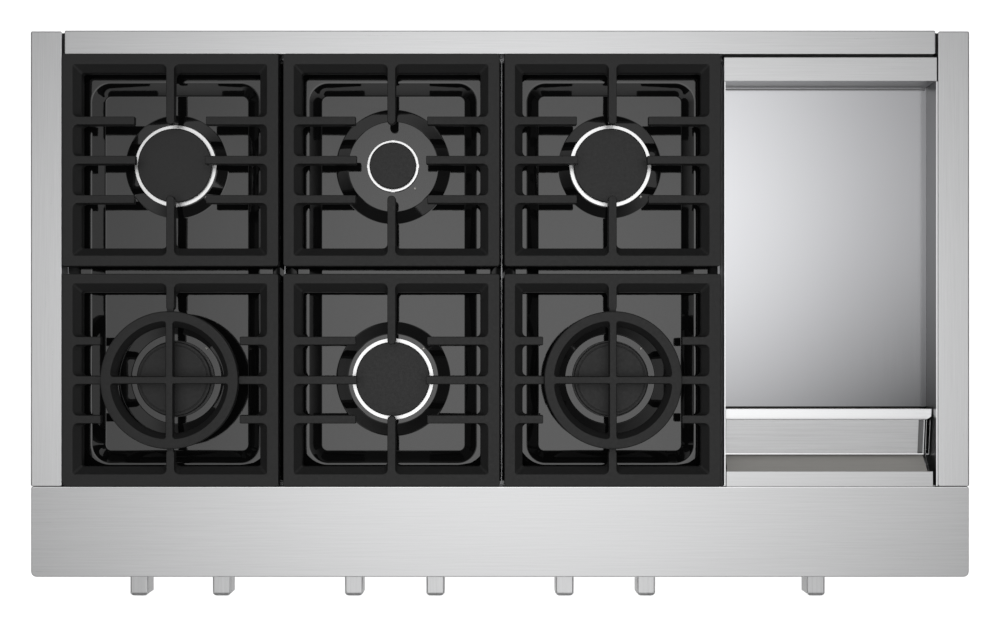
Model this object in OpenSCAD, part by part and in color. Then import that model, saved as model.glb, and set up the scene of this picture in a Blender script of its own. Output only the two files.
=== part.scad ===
// Drop-in gas range top: six sealed burners under cast-iron grates and a steel griddle,
// with one push-and-turn knob for each burner and one for the griddle.
// Millimetres. +Z up, the knobs face -Y, the origin is the bottom centre of the whole part.

/* [Body] */
// Width over the two side trims
body_w = 1216; // [1214:1:1220]
// Height of the side and rear trims above the base
trim_z = 200; // [199:1:202]
// Width of each side trim, seen from above
trim_w = 40.5; // [39:0.5:40.5]
// Depth of the landing ledge in front of the grates
ledge_d = 114.6; // [112:0.2:116]
// Height of the front lip of the ledge
lip_h = 26; // [20:1:30]
// Sheet-metal thickness
sheet = 1.5; // [1.2:0.1:1.5]

/* [Grates] */
// Height of the top of the grates above the base
grate_z = 212; // [210:1:214]
// Width of one grate
grate_w = 279; // [276:1:280]
// Depth of one grate
grate_d = 274; // [272:1:275]
// Spacing of the burner columns
col_pitch = 285; // [285:1:286]
// Width of the fingers
finger_w = 10.5; // [9:0.5:12]
// Thickness of the fingers
finger_h = 12; // [10:1:14]
// Distance between neighbouring side fingers
finger_pitch = 50.6; // [48:0.2:54]
// Clear half-width between finger tips over a plain burner
tip_plain = 46; // [44:1:52]
// Clear half-width between finger tips round a wok ring
tip_wok = 89.5; // [89.5:0.5:92]

/* [Burners] */
// Radius of a main burner cap
cap_r = 48.4; // [44:0.2:49]
// Radius of the simmer burner cap
simmer_r = 30.4; // [28:0.2:34]
// Outer radius of a wok ring
wok_r = 88.6; // [86:0.2:88.6]

/* [Griddle] */
// Height of the griddle's cooking face above the base
plate_z = 162; // [160:1:164]
// Thickness of the griddle plate
plate_t = 12; // [8:1:14]

/* [Knobs] */
// Height of the knob centres above the base
knob_z = 111; // [108:1:114]
// Spacing of the two knobs of one burner column
knob_pair = 109; // [100:1:120]
// Radius of the knob skirt
knob_r = 29; // [26:0.5:30]
// Width of the knob grip
grip_w = 23.2; // [18:0.2:26]
// How far the knob presses in before it turns
push = 3; // [2:0.5:3]

/* [Hidden] */
$fn = 64;

hw = body_w / 2;
y_back = 371.5;                     // outer face of the rear trim
y_tip = -371.5;                    // face of the knob grips
ledge_y0 = -336.6;                 // front edge of the ledge
ledge_y1 = ledge_y0 + ledge_d;     // rear edge of the ledge
ledge_z = trim_z - 2;
panel_y = -322;                    // face of the control panel, set back under the lip
case_x = hw - 10;                  // inner face of the side panels
case_y0 = -300;                    // front of the inner case
case_y1 = 338;                     // inner face of the back panel
pan_z = 174;                       // top of the pan's rim
case_z = pan_z - 8;                // top of the side and back panels, which carry the rims
flat_z = 162;                      // floor of the pan's recess
plateau_z = 168.5;                 // raised seat of each burner
cols = [-1.5 * col_pitch + 2.5, -0.5 * col_pitch + 2.5, 0.5 * col_pitch + 2.5];
rear_y = 202.4;                    // centres of the rear and front grates
front_y = -81.3;
burn_rear = 199;                   // centres of the rear and front burners
burn_front = -80;
g_x0 = cols[2] + 145.5;            // griddle module, left and right faces
g_x1 = hw - trim_w - 1;
g_mid = (g_x0 + g_x1) / 2;
g_back = 305.7;                    // rear wall of the griddle well
plate_y0 = -118;
knob_x = [cols[0] - knob_pair / 2 - 2, cols[0] + knob_pair / 2 - 0.7,
          cols[1] - knob_pair / 2, cols[1] + knob_pair / 2,
          cols[2] - knob_pair / 2 - 3.2, cols[2] + knob_pair / 2 - 3.2, g_mid - 5.3];
valve_y0 = -298;                   // front face of the valve bodies
valve_y1 = -268;                   // rear face of the valve bodies
pipe_y = -255;                     // axis of the manifold
e = 0.01;

// ---------- small helpers ----------
module box(a, b) translate(a) cube([b[0] - a[0], b[1] - a[1], b[2] - a[2]]);

module rrect(x0, y0, x1, y1, r) {
    translate([x0 + r, y0]) square([x1 - x0 - 2 * r, y1 - y0]);
    translate([x0, y0 + r]) square([x1 - x0, y1 - y0 - 2 * r]);
    for (x = [x0 + r, x1 - r], y = [y0 + r, y1 - r]) translate([x, y]) circle(r = r);
}

// cylinder along +Y from y0 to y1
module cyl_y(x, z, y0, y1, r) translate([x, y0, z]) rotate([-90, 0, 0]) cylinder(r = r, h = y1 - y0);
module cyl_x(y, z, x0, x1, r) translate([x0, y, z]) rotate([0, 90, 0]) cylinder(r = r, h = x1 - x0);

// round bar from point a to point b, along one axis, with a ball at b
module leg(a, b, r) {
    d = [b[0] - a[0], b[1] - a[1], b[2] - a[2]];
    if (abs(d[0]) > e) cyl_x(a[1], a[2], min(a[0], b[0]), max(a[0], b[0]), r);
    if (abs(d[1]) > e) cyl_y(a[0], a[2], min(a[1], b[1]), max(a[1], b[1]), r);
    if (abs(d[2]) > e) translate([a[0], a[1], min(a[2], b[2])]) cylinder(r = r, h = abs(d[2]));
}
module pipe_run(p, r) {
    for (i = [0 : len(p) - 2]) leg(p[i], p[i + 1], r);
    for (i = [1 : len(p) - 2]) translate(p[i]) sphere(r = r);
}

// ---------- case ----------
module base_pan() color("gainsboro") difference() {
    union() {
        box([-case_x, case_y0, 0], [case_x, case_y1, sheet]);
        box([-case_x, case_y0, sheet - e], [-case_x + sheet, case_y1, 25]);
        box([case_x - sheet, case_y0, sheet - e], [case_x, case_y1, 25]);
        box([-case_x, case_y0, sheet - e], [case_x, case_y0 + sheet, 25]);
        box([-case_x, case_y1 - sheet, sheet - e], [case_x, case_y1, 25]);
    }
    // hold-down screw holes
    for (x = [-550, 550], y = [-260, 300]) translate([x, y, -1]) cylinder(r = 4, h = 4);
    // air slots under the burners
    for (x = [-480 : 120 : 480], y = [-120, 60, 220]) translate([x, y, 0]) box([-30, -4, -1], [30, 4, 4]);
}

module side_panel(s) color("gainsboro") {
    x0 = s > 0 ? case_x : -case_x - sheet;
    union() {
        box([x0, case_y0, 0], [x0 + sheet, case_y1, case_z]);
        box(s > 0 ? [case_x - 18, case_y0, case_z - sheet] : [-case_x - sheet, case_y0, case_z - sheet],
            s > 0 ? [case_x + sheet, case_y1, case_z] : [-case_x + 38, case_y1, case_z]);
    }
}

module back_panel() color("gainsboro") difference() {
    union() {
        box([-case_x - sheet, case_y1, 0], [case_x + sheet, case_y1 + sheet, case_z]);
        // flange that carries the rear trim
        box([-case_x - sheet, case_y1, case_z - sheet], [case_x + sheet, 366, case_z]);
    }
    // cooling slots
    for (x = [-500 : 80 : 380], z = [95, 110, 125]) box([x - 28, case_y1 - 1, z], [x + 28, case_y1 + 4, z + 5]);
    // gas inlet and power conduit holes
    cyl_y(480, 60, case_y1 - 2, case_y1 + 4, 22);
    cyl_y(-500, 60, case_y1 - 2, case_y1 + 4, 11.1);
}

module front_bulkhead() color("gainsboro") difference() {
    box([-case_x - sheet, case_y0 - sheet, 0], [case_x + sheet, case_y0, case_z]);
    for (x = knob_x) cyl_y(x, knob_z, case_y0 - 4, case_y0 + 2, 6);
}

rail_x = [cols[0] + col_pitch / 2, cols[1] + col_pitch / 2, g_x0 - 9.5];
module support_rails() color("gainsboro") {
    for (i = [0 : 2]) let (x = rail_x[i]) union() {
        difference() {
            box([x - 9, case_y0, 138.5], [x + 9, case_y1, case_z]);
            box([x - 9 + sheet, case_y0 - 1, 137], [x + 9 - sheet, case_y1 + 1, case_z - sheet]);
        }
        // foot under the left wall of the griddle module
        if (i == 2) box([x + 7.5, case_y0, 138.5], [g_x0 + 8, case_y1, 138.5 + sheet]);
    }
    // shelf under its right wall
    box([g_x1 - 8, case_y0, 138.5], [case_x, case_y1, 138.5 + sheet]);
}

// ---------- outer stainless pieces ----------
module ledge_plan(in = 0) {
    r = 7;
    x = hw - in;
    y = ledge_y0 + in;
    translate([-x + r, y]) square([2 * x - 2 * r, 40]);
    translate([-x, y + r]) square([2 * x, ledge_y1 - y - r + (in > 0 ? 20 : 0)]);
    for (s = [-1, 1]) translate([s * (x - r), y + r]) circle(r = r);
}

module control_panel() color("silver") difference() {
    union() {
        // ledge with its front lip
        difference() {
            translate([0, 0, ledge_z - lip_h]) linear_extrude(lip_h) ledge_plan();
            translate([0, 0, ledge_z - lip_h + sheet]) linear_extrude(lip_h - 2 * sheet) ledge_plan(sheet);
            box([-hw + sheet, panel_y + sheet, ledge_z - lip_h - 1], [hw - sheet, ledge_y1 + 1, ledge_z - sheet]);
        }
        // rear return of the ledge
        box([-hw + sheet, ledge_y1 - sheet, case_z], [hw - sheet, ledge_y1, ledge_z - sheet + e]);
        // fascia under the lip, with its bottom return
        box([-hw, panel_y, 8], [hw, panel_y + sheet, ledge_z - lip_h + sheet]);
        box([-hw, panel_y, 8], [hw, case_y0 - sheet, 8 + sheet]);
        // side returns
        for (s = [-1, 1]) box([s > 0 ? hw - sheet : -hw, panel_y, 8], [s > 0 ? hw : -hw + sheet, ledge_y1 - 78, ledge_z - lip_h + sheet]);
        // end tabs that close the joint to the side trims
        for (s = [-1, 1]) box([s > 0 ? hw - 22 : -hw + 0.4, ledge_y1 - 1, ledge_z - 20], [s > 0 ? hw - 0.4 : -hw + 22, ledge_y1 + 2.6, ledge_z - 8]);
    }
    for (x = knob_x) cyl_y(x, knob_z, panel_y - 2, panel_y + 4, 8);
}

module side_trim(s) color("silver") {
    x0 = s > 0 ? hw - trim_w : -hw;
    difference() {
        box([x0, ledge_y1 + 3, case_z], [x0 + trim_w, y_back - 1, trim_z]);
        box([x0 + sheet, ledge_y1 + 3 + sheet, case_z - 1], [x0 + trim_w - sheet, y_back - 1 - sheet, trim_z - sheet]);
    }
}

module rear_trim() color("silver") difference() {
    x = hw - trim_w - 3.5;
    box([-x, 342, case_z], [x, y_back, trim_z]);
    box([-x + sheet, 342 + sheet, case_z - 1], [x - sheet, y_back - sheet, trim_z - sheet]);
}

// ---------- burner pans ----------
module slope_block(z0, z1, w0, d0, r0, w1, d1, r1) hull() {
    translate([0, 0, z0]) linear_extrude(0.02) rrect(-w0, -d0, w0, d0, r0, $fn = 32);
    translate([0, 0, z1 - 0.02]) linear_extrude(0.02) rrect(-w1, -d1, w1, d1, r1, $fn = 32);
}

// sloped ring that carries a burner, from radius ro on the floor to ri on the seat, with a hole of radius rh
module burner_seat(ro, ri, rh) rotate_extrude()
    polygon([[ro + 0.5, flat_z - sheet], [ro + 0.5, flat_z], [ro, flat_z], [ri, plateau_z], [rh, plateau_z],
             [rh, plateau_z - sheet], [ri - 0.6, plateau_z - sheet], [ro - 0.6, flat_z - sheet]]);

// igniters stand behind each head, turned to a corner
function spark_at(y, r) = [r * cos(45), y > 0 ? -r * sin(45) : r * sin(45)];

module burner_pan(c, ro_rear, rear_r) color("dimgray") translate([cols[c], 0, 0]) difference() {
    mid_y = 58.6;
    w = 142;
    y0 = ledge_y1 + 2.5;
    y1 = 341;
    seats = [[burn_rear, ro_rear, ro_rear < 70 ? 53.5 : 59, rear_r], [burn_front, 75, 59, cap_r]];
    union() {
        difference() {
            union() {
                box([-w, y0, pan_z - sheet], [w, y1, pan_z]);
                // turned-down edges
                for (s = [-1, 1]) box([s > 0 ? w - sheet : -w, y0, pan_z - 8], [s > 0 ? w : -w + sheet, y1, pan_z - sheet + e]);
                box([-w, y0, pan_z - 8], [w, y0 + sheet, pan_z - sheet + e]);
                box([-w, y1 - sheet, pan_z - 8], [w, y1, pan_z - sheet + e]);
                translate([0, mid_y, 0]) slope_block(flat_z - sheet, pan_z - 0.5, 95.2, 235.7, 10, 110.4, 249.9, 27);
            }
            translate([0, mid_y, 0]) slope_block(flat_z, pan_z + 0.5, 94, 234.5, 9, 110.2, 249.7, 26);
            for (s = seats) translate([0, s[0], flat_z - 5]) cylinder(r = s[1], h = 10);
        }
        for (s = seats) translate([0, s[0], 0]) burner_seat(s[1], s[2], s[3] - 2.4);
    }
    // igniter holes
    for (s = seats) translate(concat([0, s[0]], [150]) + concat(spark_at(s[0], s[3] + (s[3] > 40 ? 8.2 : 10.6)), [0])) cylinder(r = 2.2, h = 40);
}

// ---------- burners ----------
// body of a sealed burner: mixing cup under the pan and flange on the seat
module burner_base(r) rotate_extrude()
    polygon([[0, 140], [12, 140], [14, 146], [r - 6.4, 150], [r - 2.9, 156], [r - 2.9, plateau_z], [r + 1.6, plateau_z],
             [r + 1.6, plateau_z + 2], [r - 8.4, plateau_z + 2], [r - 8.4, 158], [12, 154], [0, 154]]);

module burner_head(r, top) {
    n = r > 40 ? 24 : 16;
    difference() {
        rotate_extrude()
            polygon([[r - 12, plateau_z + 2], [r + 4.6, plateau_z + 2], [r + 4.6, plateau_z + 4], [r + 0.6, top],
                     [r - 12, top]]);
        // flame ports
        for (i = [0 : n - 1]) rotate([0, 0, i * 360 / n + 180 / n])
            translate([r - 13, -1.2, top - 3.4]) cube([20, 2.4, 5]);
    }
}

module burner_cap(r, z) rotate_extrude()
    polygon([[0, z - 3], [r - 12.4, z - 3], [r - 12.4, z], [r - 1, z], [r, z + 0.8], [r, z + 2.6], [r - 1.4, z + 4], [0, z + 4]]);

main_burners = [[cols[0], burn_rear], [cols[2], burn_rear], [cols[0], burn_front], [cols[1], burn_front], [cols[2], burn_front]];
all_burners = concat(main_burners, [[cols[1], burn_rear]]);

module burner_bases() color("silver") for (b = all_burners) translate([b[0], b[1], 0]) burner_base(b[0] == cols[1] && b[1] > 0 ? simmer_r : cap_r);
module burner_heads() color("silver") for (b = main_burners) translate([b[0], b[1], 0]) burner_head(cap_r, plateau_z + 8);
module simmer_head() color("silver") translate([cols[1], burn_rear, 0]) burner_head(simmer_r, plateau_z + 8);
module burner_caps() color([0.12, 0.12, 0.13]) for (b = main_burners) translate([b[0], b[1], 0]) burner_cap(cap_r, plateau_z + 8);
module simmer_cap() color([0.12, 0.12, 0.13]) translate([cols[1], burn_rear, 0]) burner_cap(simmer_r, plateau_z + 8);

module igniters() color("ivory") for (b = all_burners) {
    r = b[0] == cols[1] && b[1] > 0 ? simmer_r + 10.6 : cap_r + 8.2;
    o = spark_at(b[1], r);
    translate([b[0] + o[0], b[1] + o[1], plateau_z - 10]) cylinder(r = 1.6, h = 17);
}

// ---------- grates ----------
// clear space inside the frame: sloped faces above, straight faces below
module grate_well(w, d) intersection() {
    translate([0, d, 0]) rotate([90, 0, 0]) linear_extrude(2 * d)
        polygon([[-w / 2 + 24, 180], [w / 2 - 24, 180], [w / 2 - 24, grate_z - 10], [w / 2 - 14.5, grate_z], [w / 2 - 14.5, grate_z + 5],
                 [-w / 2 + 14.5, grate_z + 5], [-w / 2 + 14.5, grate_z], [-w / 2 + 24, grate_z - 10]]);
    translate([-w, 0, 0]) rotate([90, 0, 90]) linear_extrude(2 * w)
        polygon([[-d / 2 + 24, 180], [d / 2 - 24, 180], [d / 2 - 24, grate_z - 10], [d / 2 - 14.5, grate_z], [d / 2 - 14.5, grate_z + 5],
                 [-d / 2 + 14.5, grate_z + 5], [-d / 2 + 14.5, grate_z], [-d / 2 + 24, grate_z - 10]]);
}

module grate(x, y, tip, wok) color([0.13, 0.13, 0.13]) translate([x, y, 0]) difference() {
    union() {
        difference() {
            translate([0, 0, grate_z - 24]) linear_extrude(24) rrect(-grate_w / 2, -grate_d / 2, grate_w / 2, grate_d / 2, 4);
            grate_well(grate_w, grate_d);
        }
        // side fingers
        for (s = [-1, 1], k = [-1, 0, 1])
            box([s > 0 ? tip : -grate_w / 2 + 12, k * finger_pitch - finger_w / 2, grate_z - finger_h],
                [s > 0 ? grate_w / 2 - 12 : -tip, k * finger_pitch + finger_w / 2, grate_z]);
        // front and rear fingers
        for (s = [-1, 1])
            box([-finger_w / 2, s > 0 ? tip : -grate_d / 2 + 12, grate_z - finger_h],
                [finger_w / 2, s > 0 ? grate_d / 2 - 12 : -tip, grate_z]);
        // corner feet
        for (sx = [-1, 1], sy = [-1, 1])
            translate([sx * (grate_w / 2 - 13), sy * (grate_d / 2 - 13), pan_z]) cylinder(r = 9, h = grate_z - 24 - pan_z + 1);
    }
    // notches that carry the lugs of the wok ring
    if (wok) for (a = [0, 90, 180, 270]) rotate([0, 0, a])
        box([tip - 1, -finger_w, grate_z - 6], [tip + 4, finger_w, grate_z + 1]);
}

module wok_ring(x, y) color([0.13, 0.13, 0.13]) translate([x, y, 0]) {
    top = grate_z + 8;
    union() {
        rotate_extrude() polygon([[wok_r - 13.4 - 3, top - 14], [wok_r, top - 14], [wok_r, top - 1.5], [wok_r - 1.5, top], [wok_r - 13.4, top]]);
        for (a = [0, 90]) rotate([0, 0, a]) box([-wok_r + 6, -4.6, top - 12], [wok_r - 6, 4.6, top]);
        for (a = [0, 90, 180, 270]) rotate([0, 0, a]) box([wok_r - 2, -4.4, grate_z - 6], [tip_wok + 3.3, 4.4, grate_z]);
    }
}

// ---------- griddle ----------
module griddle_surround() color("silver") {
    union() {
        // left and right walls
        box([g_x0, ledge_y1 + 2.5, 140], [g_x0 + sheet, 337, trim_z]);
        box([g_x1 - sheet, ledge_y1 + 2.5, 140], [g_x1, 337, trim_z]);
        // rear shelf, rear wall and rear return
        box([g_x0, g_back, trim_z - sheet], [g_x1, 337, trim_z]);
        box([g_x0, g_back, 140], [g_x1, g_back + sheet, trim_z]);
        box([g_x0, 337 - sheet, 170.5], [g_x1, 337, trim_z]);
        // front wall and tray shelf
        box([g_x0, ledge_y1 + 2.5, 140], [g_x1, ledge_y1 + 2.5 + sheet, 190]);
        box([g_x0, ledge_y1 + 2.5, 140], [g_x1, plate_y0 + 3, 140 + sheet]);
        box([g_x0, plate_y0 + 1.5, 140], [g_x1, plate_y0 + 3, plate_z - plate_t - 1]);
        // ledges under the plate
        for (s = [0, 1]) box([s ? g_x1 - 14 : g_x0, plate_y0 + 20, plate_z - plate_t - sheet],
                             [s ? g_x1 : g_x0 + 14, g_back + 1, plate_z - plate_t]);
    }
}

module griddle_plate() color("silver") difference() {
    box([g_x0 + sheet + 0.2, plate_y0, plate_z - plate_t], [g_x1 - sheet - 0.2, g_back - 0.3, plate_z]);
    // bevelled pouring edge
    translate([g_x0 - 5, plate_y0, plate_z]) rotate([-35, 0, 0]) box([0, -12, 0], [300, 3, 10]);
}

module griddle_burner() color("silver") union() {
    z = 118;
    for (s = [-1, 1]) {
        cyl_y(g_mid + s * 66, z, -60, 270, 11);
        translate([g_mid + s * 66, 270, z]) sphere(r = 11);
        translate([g_mid + s * 66, -60, z]) sphere(r = 11);
    }
    cyl_x(-60, z, g_mid - 66, g_mid + 66, 11);
    cyl_y(g_mid - 4, z, -120, -60, 11);
    // carrying bracket on two legs
    box([g_mid - 90, 150, z - 14], [g_mid + 90, 165, z - 9]);
    for (s = [-1, 1]) box([g_mid + s * 88 - 2, 150, sheet], [g_mid + s * 88 + 2, 165, z - 12]);
}

// removable tray that catches the run-off in front of the plate
tray_x0 = g_x0 + sheet + 2;
tray_x1 = g_x1 - sheet - 5.5;
module grease_tray() color("silver") union() {
    t = 1.2;
    y0 = -219;
    y1 = plate_y0 - 0.4;
    z0 = 140 + sheet;
    // one bent sheet: rim, front wall leaning back under the guard, floor and low rear wall
    translate([tray_x0, 0, 0]) rotate([90, 0, 90]) linear_extrude(tray_x1 - tray_x0)
        polygon([[y0, ledge_z - 7], [y0 + t, ledge_z - 7], [y0 + t, ledge_z - t], [y0 + 18.2, ledge_z - t], [y0 + 35.2, z0],
                 [y1, z0], [y1, plate_z - 4.5], [y1 - t, plate_z - 4.5], [y1 - t, z0 + t], [y0 + 36.2, z0 + t],
                 [y0 + 19.4, ledge_z], [y0, ledge_z]]);
    // end walls, which carry the guard
    for (x = [tray_x0, tray_x1 - t]) translate([x, 0, 0]) rotate([90, 0, 90]) linear_extrude(t)
        polygon([[y0 + 35.6, z0 + 0.2], [y1 - 0.1, z0 + 0.2], [y1 - 0.1, 166], [-133, 184], [-177.4, 177], [y0 + 21, 190]]);
}

// inclined guard across the tray, with a turned lip along its top edge
module tray_guard() color("silver") translate([tray_x0 + 1.2, 0, 0]) rotate([90, 0, 90])
    linear_extrude(tray_x1 - tray_x0 - 2.4)
    polygon([[-119.7, 184.6], [-119.7, 186], [-133, 186], [-133.7, 185], [-178.4, 177.9], [-178.2, 176.5], [-132.6, 183.6], [-121.1, 184.6]]);

// ---------- gas train ----------
module knob_bezels() color("silver") for (x = knob_x) translate([x, panel_y, knob_z]) rotate([90, 0, 0])
    rotate_extrude() polygon([[9, 0], [33, 0], [33, 0.7], [32.2, 1.5], [9, 1.5]]);

module gas_manifold() color("gold") union() {
    cyl_x(pipe_y, knob_z, -530, 500, 10);
    for (x = knob_x) box([x - 9, valve_y1, knob_z - 7], [x + 9, pipe_y, knob_z + 7]);
    // feed from the regulator
    pipe_run([[480, pipe_y, knob_z], [480, pipe_y, 60], [480, 230, 60]], 10);
}

module valve_bodies() color("gold") for (x = knob_x) difference() {
    union() {
        box([x - 14, valve_y0, knob_z - 15], [x + 14, valve_y1, knob_z + 15]);
        cyl_y(x, knob_z, valve_y0 - 8, valve_y0 + 1, 5.6);
    }
    cyl_y(x, knob_z, -293, -273, 8);
    cyl_y(x, knob_z, valve_y0 - 10, -292, 4.3);
}

// burner that each of knobs 1 to 6 feeds: rear, front, rear, front, ...
function feed(i) = [cols[floor(i / 2)], i % 2 == 0 ? burn_rear : burn_front];
module supply_tubes() color("silver") {
    for (i = [0 : 5]) let (b = feed(i), s = i % 2 == 0 ? -1 : 1, k = knob_x[i])
        union() {
            pipe_run([[k, -283, knob_z + 15], [k, -283, 133], [k, b[1], 133], [b[0] + s * 14, b[1], 133]], 3.6);
            // orifice holder under the burner
            translate([b[0], b[1], 126]) cylinder(r = 11, h = 14);
            leg([b[0] + s * 16, b[1], 133], [b[0], b[1], 133], 3.6);
        }
    pipe_run([[knob_x[6], -283, knob_z + 15], [knob_x[6], -283, 133], [knob_x[6], -128, 133], [knob_x[6], -128, 118], [knob_x[6], -120, 118]], 3.6);
}

module gas_regulator() color("gold") union() {
    // regulator body and dome
    box([460, 230, 42], [500, 290, 78]);
    translate([480, 262, 78 - e]) cylinder(r = 17, h = 22);
    // inlet pipe through the back panel
    cyl_y(480, 60, 290 - e, 366, 10.65);
    cyl_y(480, 60, 326, 337, 16);
}

module spark_module() color([0.15, 0.15, 0.16]) union() {
    box([-470, 250, sheet], [-380, 300, 38]);
    for (i = [0 : 5]) translate([-460 + i * 14, 275, 38 - e]) cylinder(r = 3, h = 8);
}

module screw_y(x, z) { cyl_y(x, z, case_y1 + sheet, case_y1 + sheet + 2.6, 4.5); }
module case_screws() color("silver") {
    for (x = [-590, -200, 200, 590], z = [14, 156]) screw_y(x, z);
    for (s = [-1, 1], y = [-250, 0, 300]) translate([s * (case_x + sheet), y, 80]) rotate([0, s * 90, 0]) cylinder(r = 4.5, h = 2.6);
}

// ---------- moving pieces of the controls ----------
module knob(i) color("silver") translate([knob_x[i], 0, knob_z]) difference() {
    union() {
        rotate([90, 0, 0]) rotate_extrude() polygon([[0, 327.5], [knob_r, 327.5], [knob_r, 331.5], [knob_r - 1.5, 334], [0, 334]]);
        intersection() {
            box([-grip_w / 2, y_tip, -knob_r], [grip_w / 2, -333, knob_r]);
            cyl_y(0, 0, y_tip - 1, -330, knob_r - 1);
        }
    }
    cyl_y(0, 0, -345, -320, 4);
}

module stem(i) color("goldenrod") translate([knob_x[i], 0, knob_z]) union() {
    cyl_y(0, 0, -345, -296, 3.98);
    cyl_y(0, 0, -297, -283, 3);
}

module plug(i) color("goldenrod") translate([knob_x[i], 0, knob_z]) difference() {
    cyl_y(0, 0, -292.4, -273.6, 7.94);
    cyl_y(0, 0, -294, -279, 3.06);
}

base_pan();
side_panel(-1);  // left_side_panel
side_panel(1);  // right_side_panel
back_panel();
front_bulkhead();
control_panel();
side_trim(-1);  // left_side_trim
side_trim(1);  // right_side_trim
rear_trim();
burner_pan(0, 67.5, cap_r);  // burner_pan_left
burner_pan(1, 75, simmer_r);  // burner_pan_middle
burner_pan(2, 67.5, cap_r);  // burner_pan_right
support_rails();
griddle_surround();
griddle_plate();
griddle_burner();
knob_bezels();
gas_manifold();
valve_bodies();
supply_tubes();
burner_bases();
burner_heads();
simmer_head();
burner_caps();
simmer_cap();
igniters();
gas_regulator();
spark_module();
case_screws();
knob(0);  // knob_1
knob(1);  // knob_2
knob(2);  // knob_3
knob(3);  // knob_4
knob(4);  // knob_5
knob(5);  // knob_6
knob(6);  // knob_7
stem(0);  // stem_1
stem(1);  // stem_2
stem(2);  // stem_3
stem(3);  // stem_4
stem(4);  // stem_5
stem(5);  // stem_6
stem(6);  // stem_7
plug(0);  // plug_1
plug(1);  // plug_2
plug(2);  // plug_3
plug(3);  // plug_4
plug(4);  // plug_5
plug(5);  // plug_6
plug(6);  // plug_7
grate(cols[0], rear_y, tip_plain, false);  // grate_rear_left
grate(cols[1], rear_y, tip_plain, false);  // grate_rear_middle
grate(cols[2], rear_y, tip_plain, false);  // grate_rear_right
grate(cols[0], front_y, tip_wok, true);  // grate_front_left
grate(cols[1], front_y, tip_plain, false);  // grate_front_middle
grate(cols[2], front_y, tip_wok, true);  // grate_front_right
wok_ring(cols[0], front_y);  // wok_ring_left
wok_ring(cols[2], front_y);  // wok_ring_right
grease_tray();
tray_guard();
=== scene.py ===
import math

import bmesh
import bpy
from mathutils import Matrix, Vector
from mathutils.geometry import tessellate_polygon


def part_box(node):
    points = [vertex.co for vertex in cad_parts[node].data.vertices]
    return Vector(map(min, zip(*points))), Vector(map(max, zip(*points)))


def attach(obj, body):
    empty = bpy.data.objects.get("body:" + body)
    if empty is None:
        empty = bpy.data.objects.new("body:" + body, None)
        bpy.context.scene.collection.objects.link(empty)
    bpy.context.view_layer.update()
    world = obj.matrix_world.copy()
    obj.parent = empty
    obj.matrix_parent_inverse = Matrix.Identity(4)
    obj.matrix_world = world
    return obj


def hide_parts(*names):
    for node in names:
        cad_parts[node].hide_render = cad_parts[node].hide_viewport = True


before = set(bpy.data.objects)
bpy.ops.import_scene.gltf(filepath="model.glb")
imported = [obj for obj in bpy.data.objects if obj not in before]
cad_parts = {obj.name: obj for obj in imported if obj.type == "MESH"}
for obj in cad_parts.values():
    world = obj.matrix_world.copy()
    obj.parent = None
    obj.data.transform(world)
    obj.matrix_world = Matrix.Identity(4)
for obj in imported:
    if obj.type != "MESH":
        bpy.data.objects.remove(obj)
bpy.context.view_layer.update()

MM = 0.001
PI = math.pi


def mmbox(node):
    lo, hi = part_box(node)
    return [c * 1000.0 for c in lo], [c * 1000.0 for c in hi]


# ------------------------------------------------------------------ places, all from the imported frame
HW = mmbox("control_panel")[1][0]
LEDGE_Y0, LEDGE_Y1 = mmbox("control_panel")[0][1], mmbox("control_panel")[1][1]
LEDGE_Z = mmbox("control_panel")[1][2]
TRIM_Z = mmbox("left_side_trim")[1][2]
TRIM_Y0, TRIM_Y1 = mmbox("left_side_trim")[0][1], mmbox("left_side_trim")[1][1]
TRIM_X = mmbox("left_side_trim")[1][0]
TRIM_Z0 = mmbox("left_side_trim")[0][2]
TRIM_IN = mmbox("right_side_trim")[0][0]
PANS = [mmbox("burner_pan_" + s) for s in ("left", "middle", "right")]
COLS = [(p[0][0] + p[1][0]) / 2 for p in PANS]
PAN_Z = PANS[0][1][2]
PAN_Y0, PAN_Y1 = PANS[0][0][1], PANS[0][1][1]
PAN_HX = (PANS[0][1][0] - PANS[0][0][0]) / 2
PAN_BOT = PAN_Z - 8.0
FLOOR_Z = PAN_Z - 12.0
SEAT_Z = PAN_Z - 5.5
REC_MID = 58.6
caps_lo, caps_hi = mmbox("burner_caps")
CAP_R = COLS[0] - caps_lo[0]
BY_REAR, BY_FRONT = caps_hi[1] - CAP_R, caps_lo[1] + CAP_R
SIM_R = (mmbox("simmer_cap")[1][0] - mmbox("simmer_cap")[0][0]) / 2
CAP_Z = caps_hi[2]
G0, G1 = mmbox("griddle_surround")
P0, P1 = mmbox("griddle_plate")
T0, T1 = mmbox("grease_tray")
U0, U1 = mmbox("tray_guard")


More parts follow.
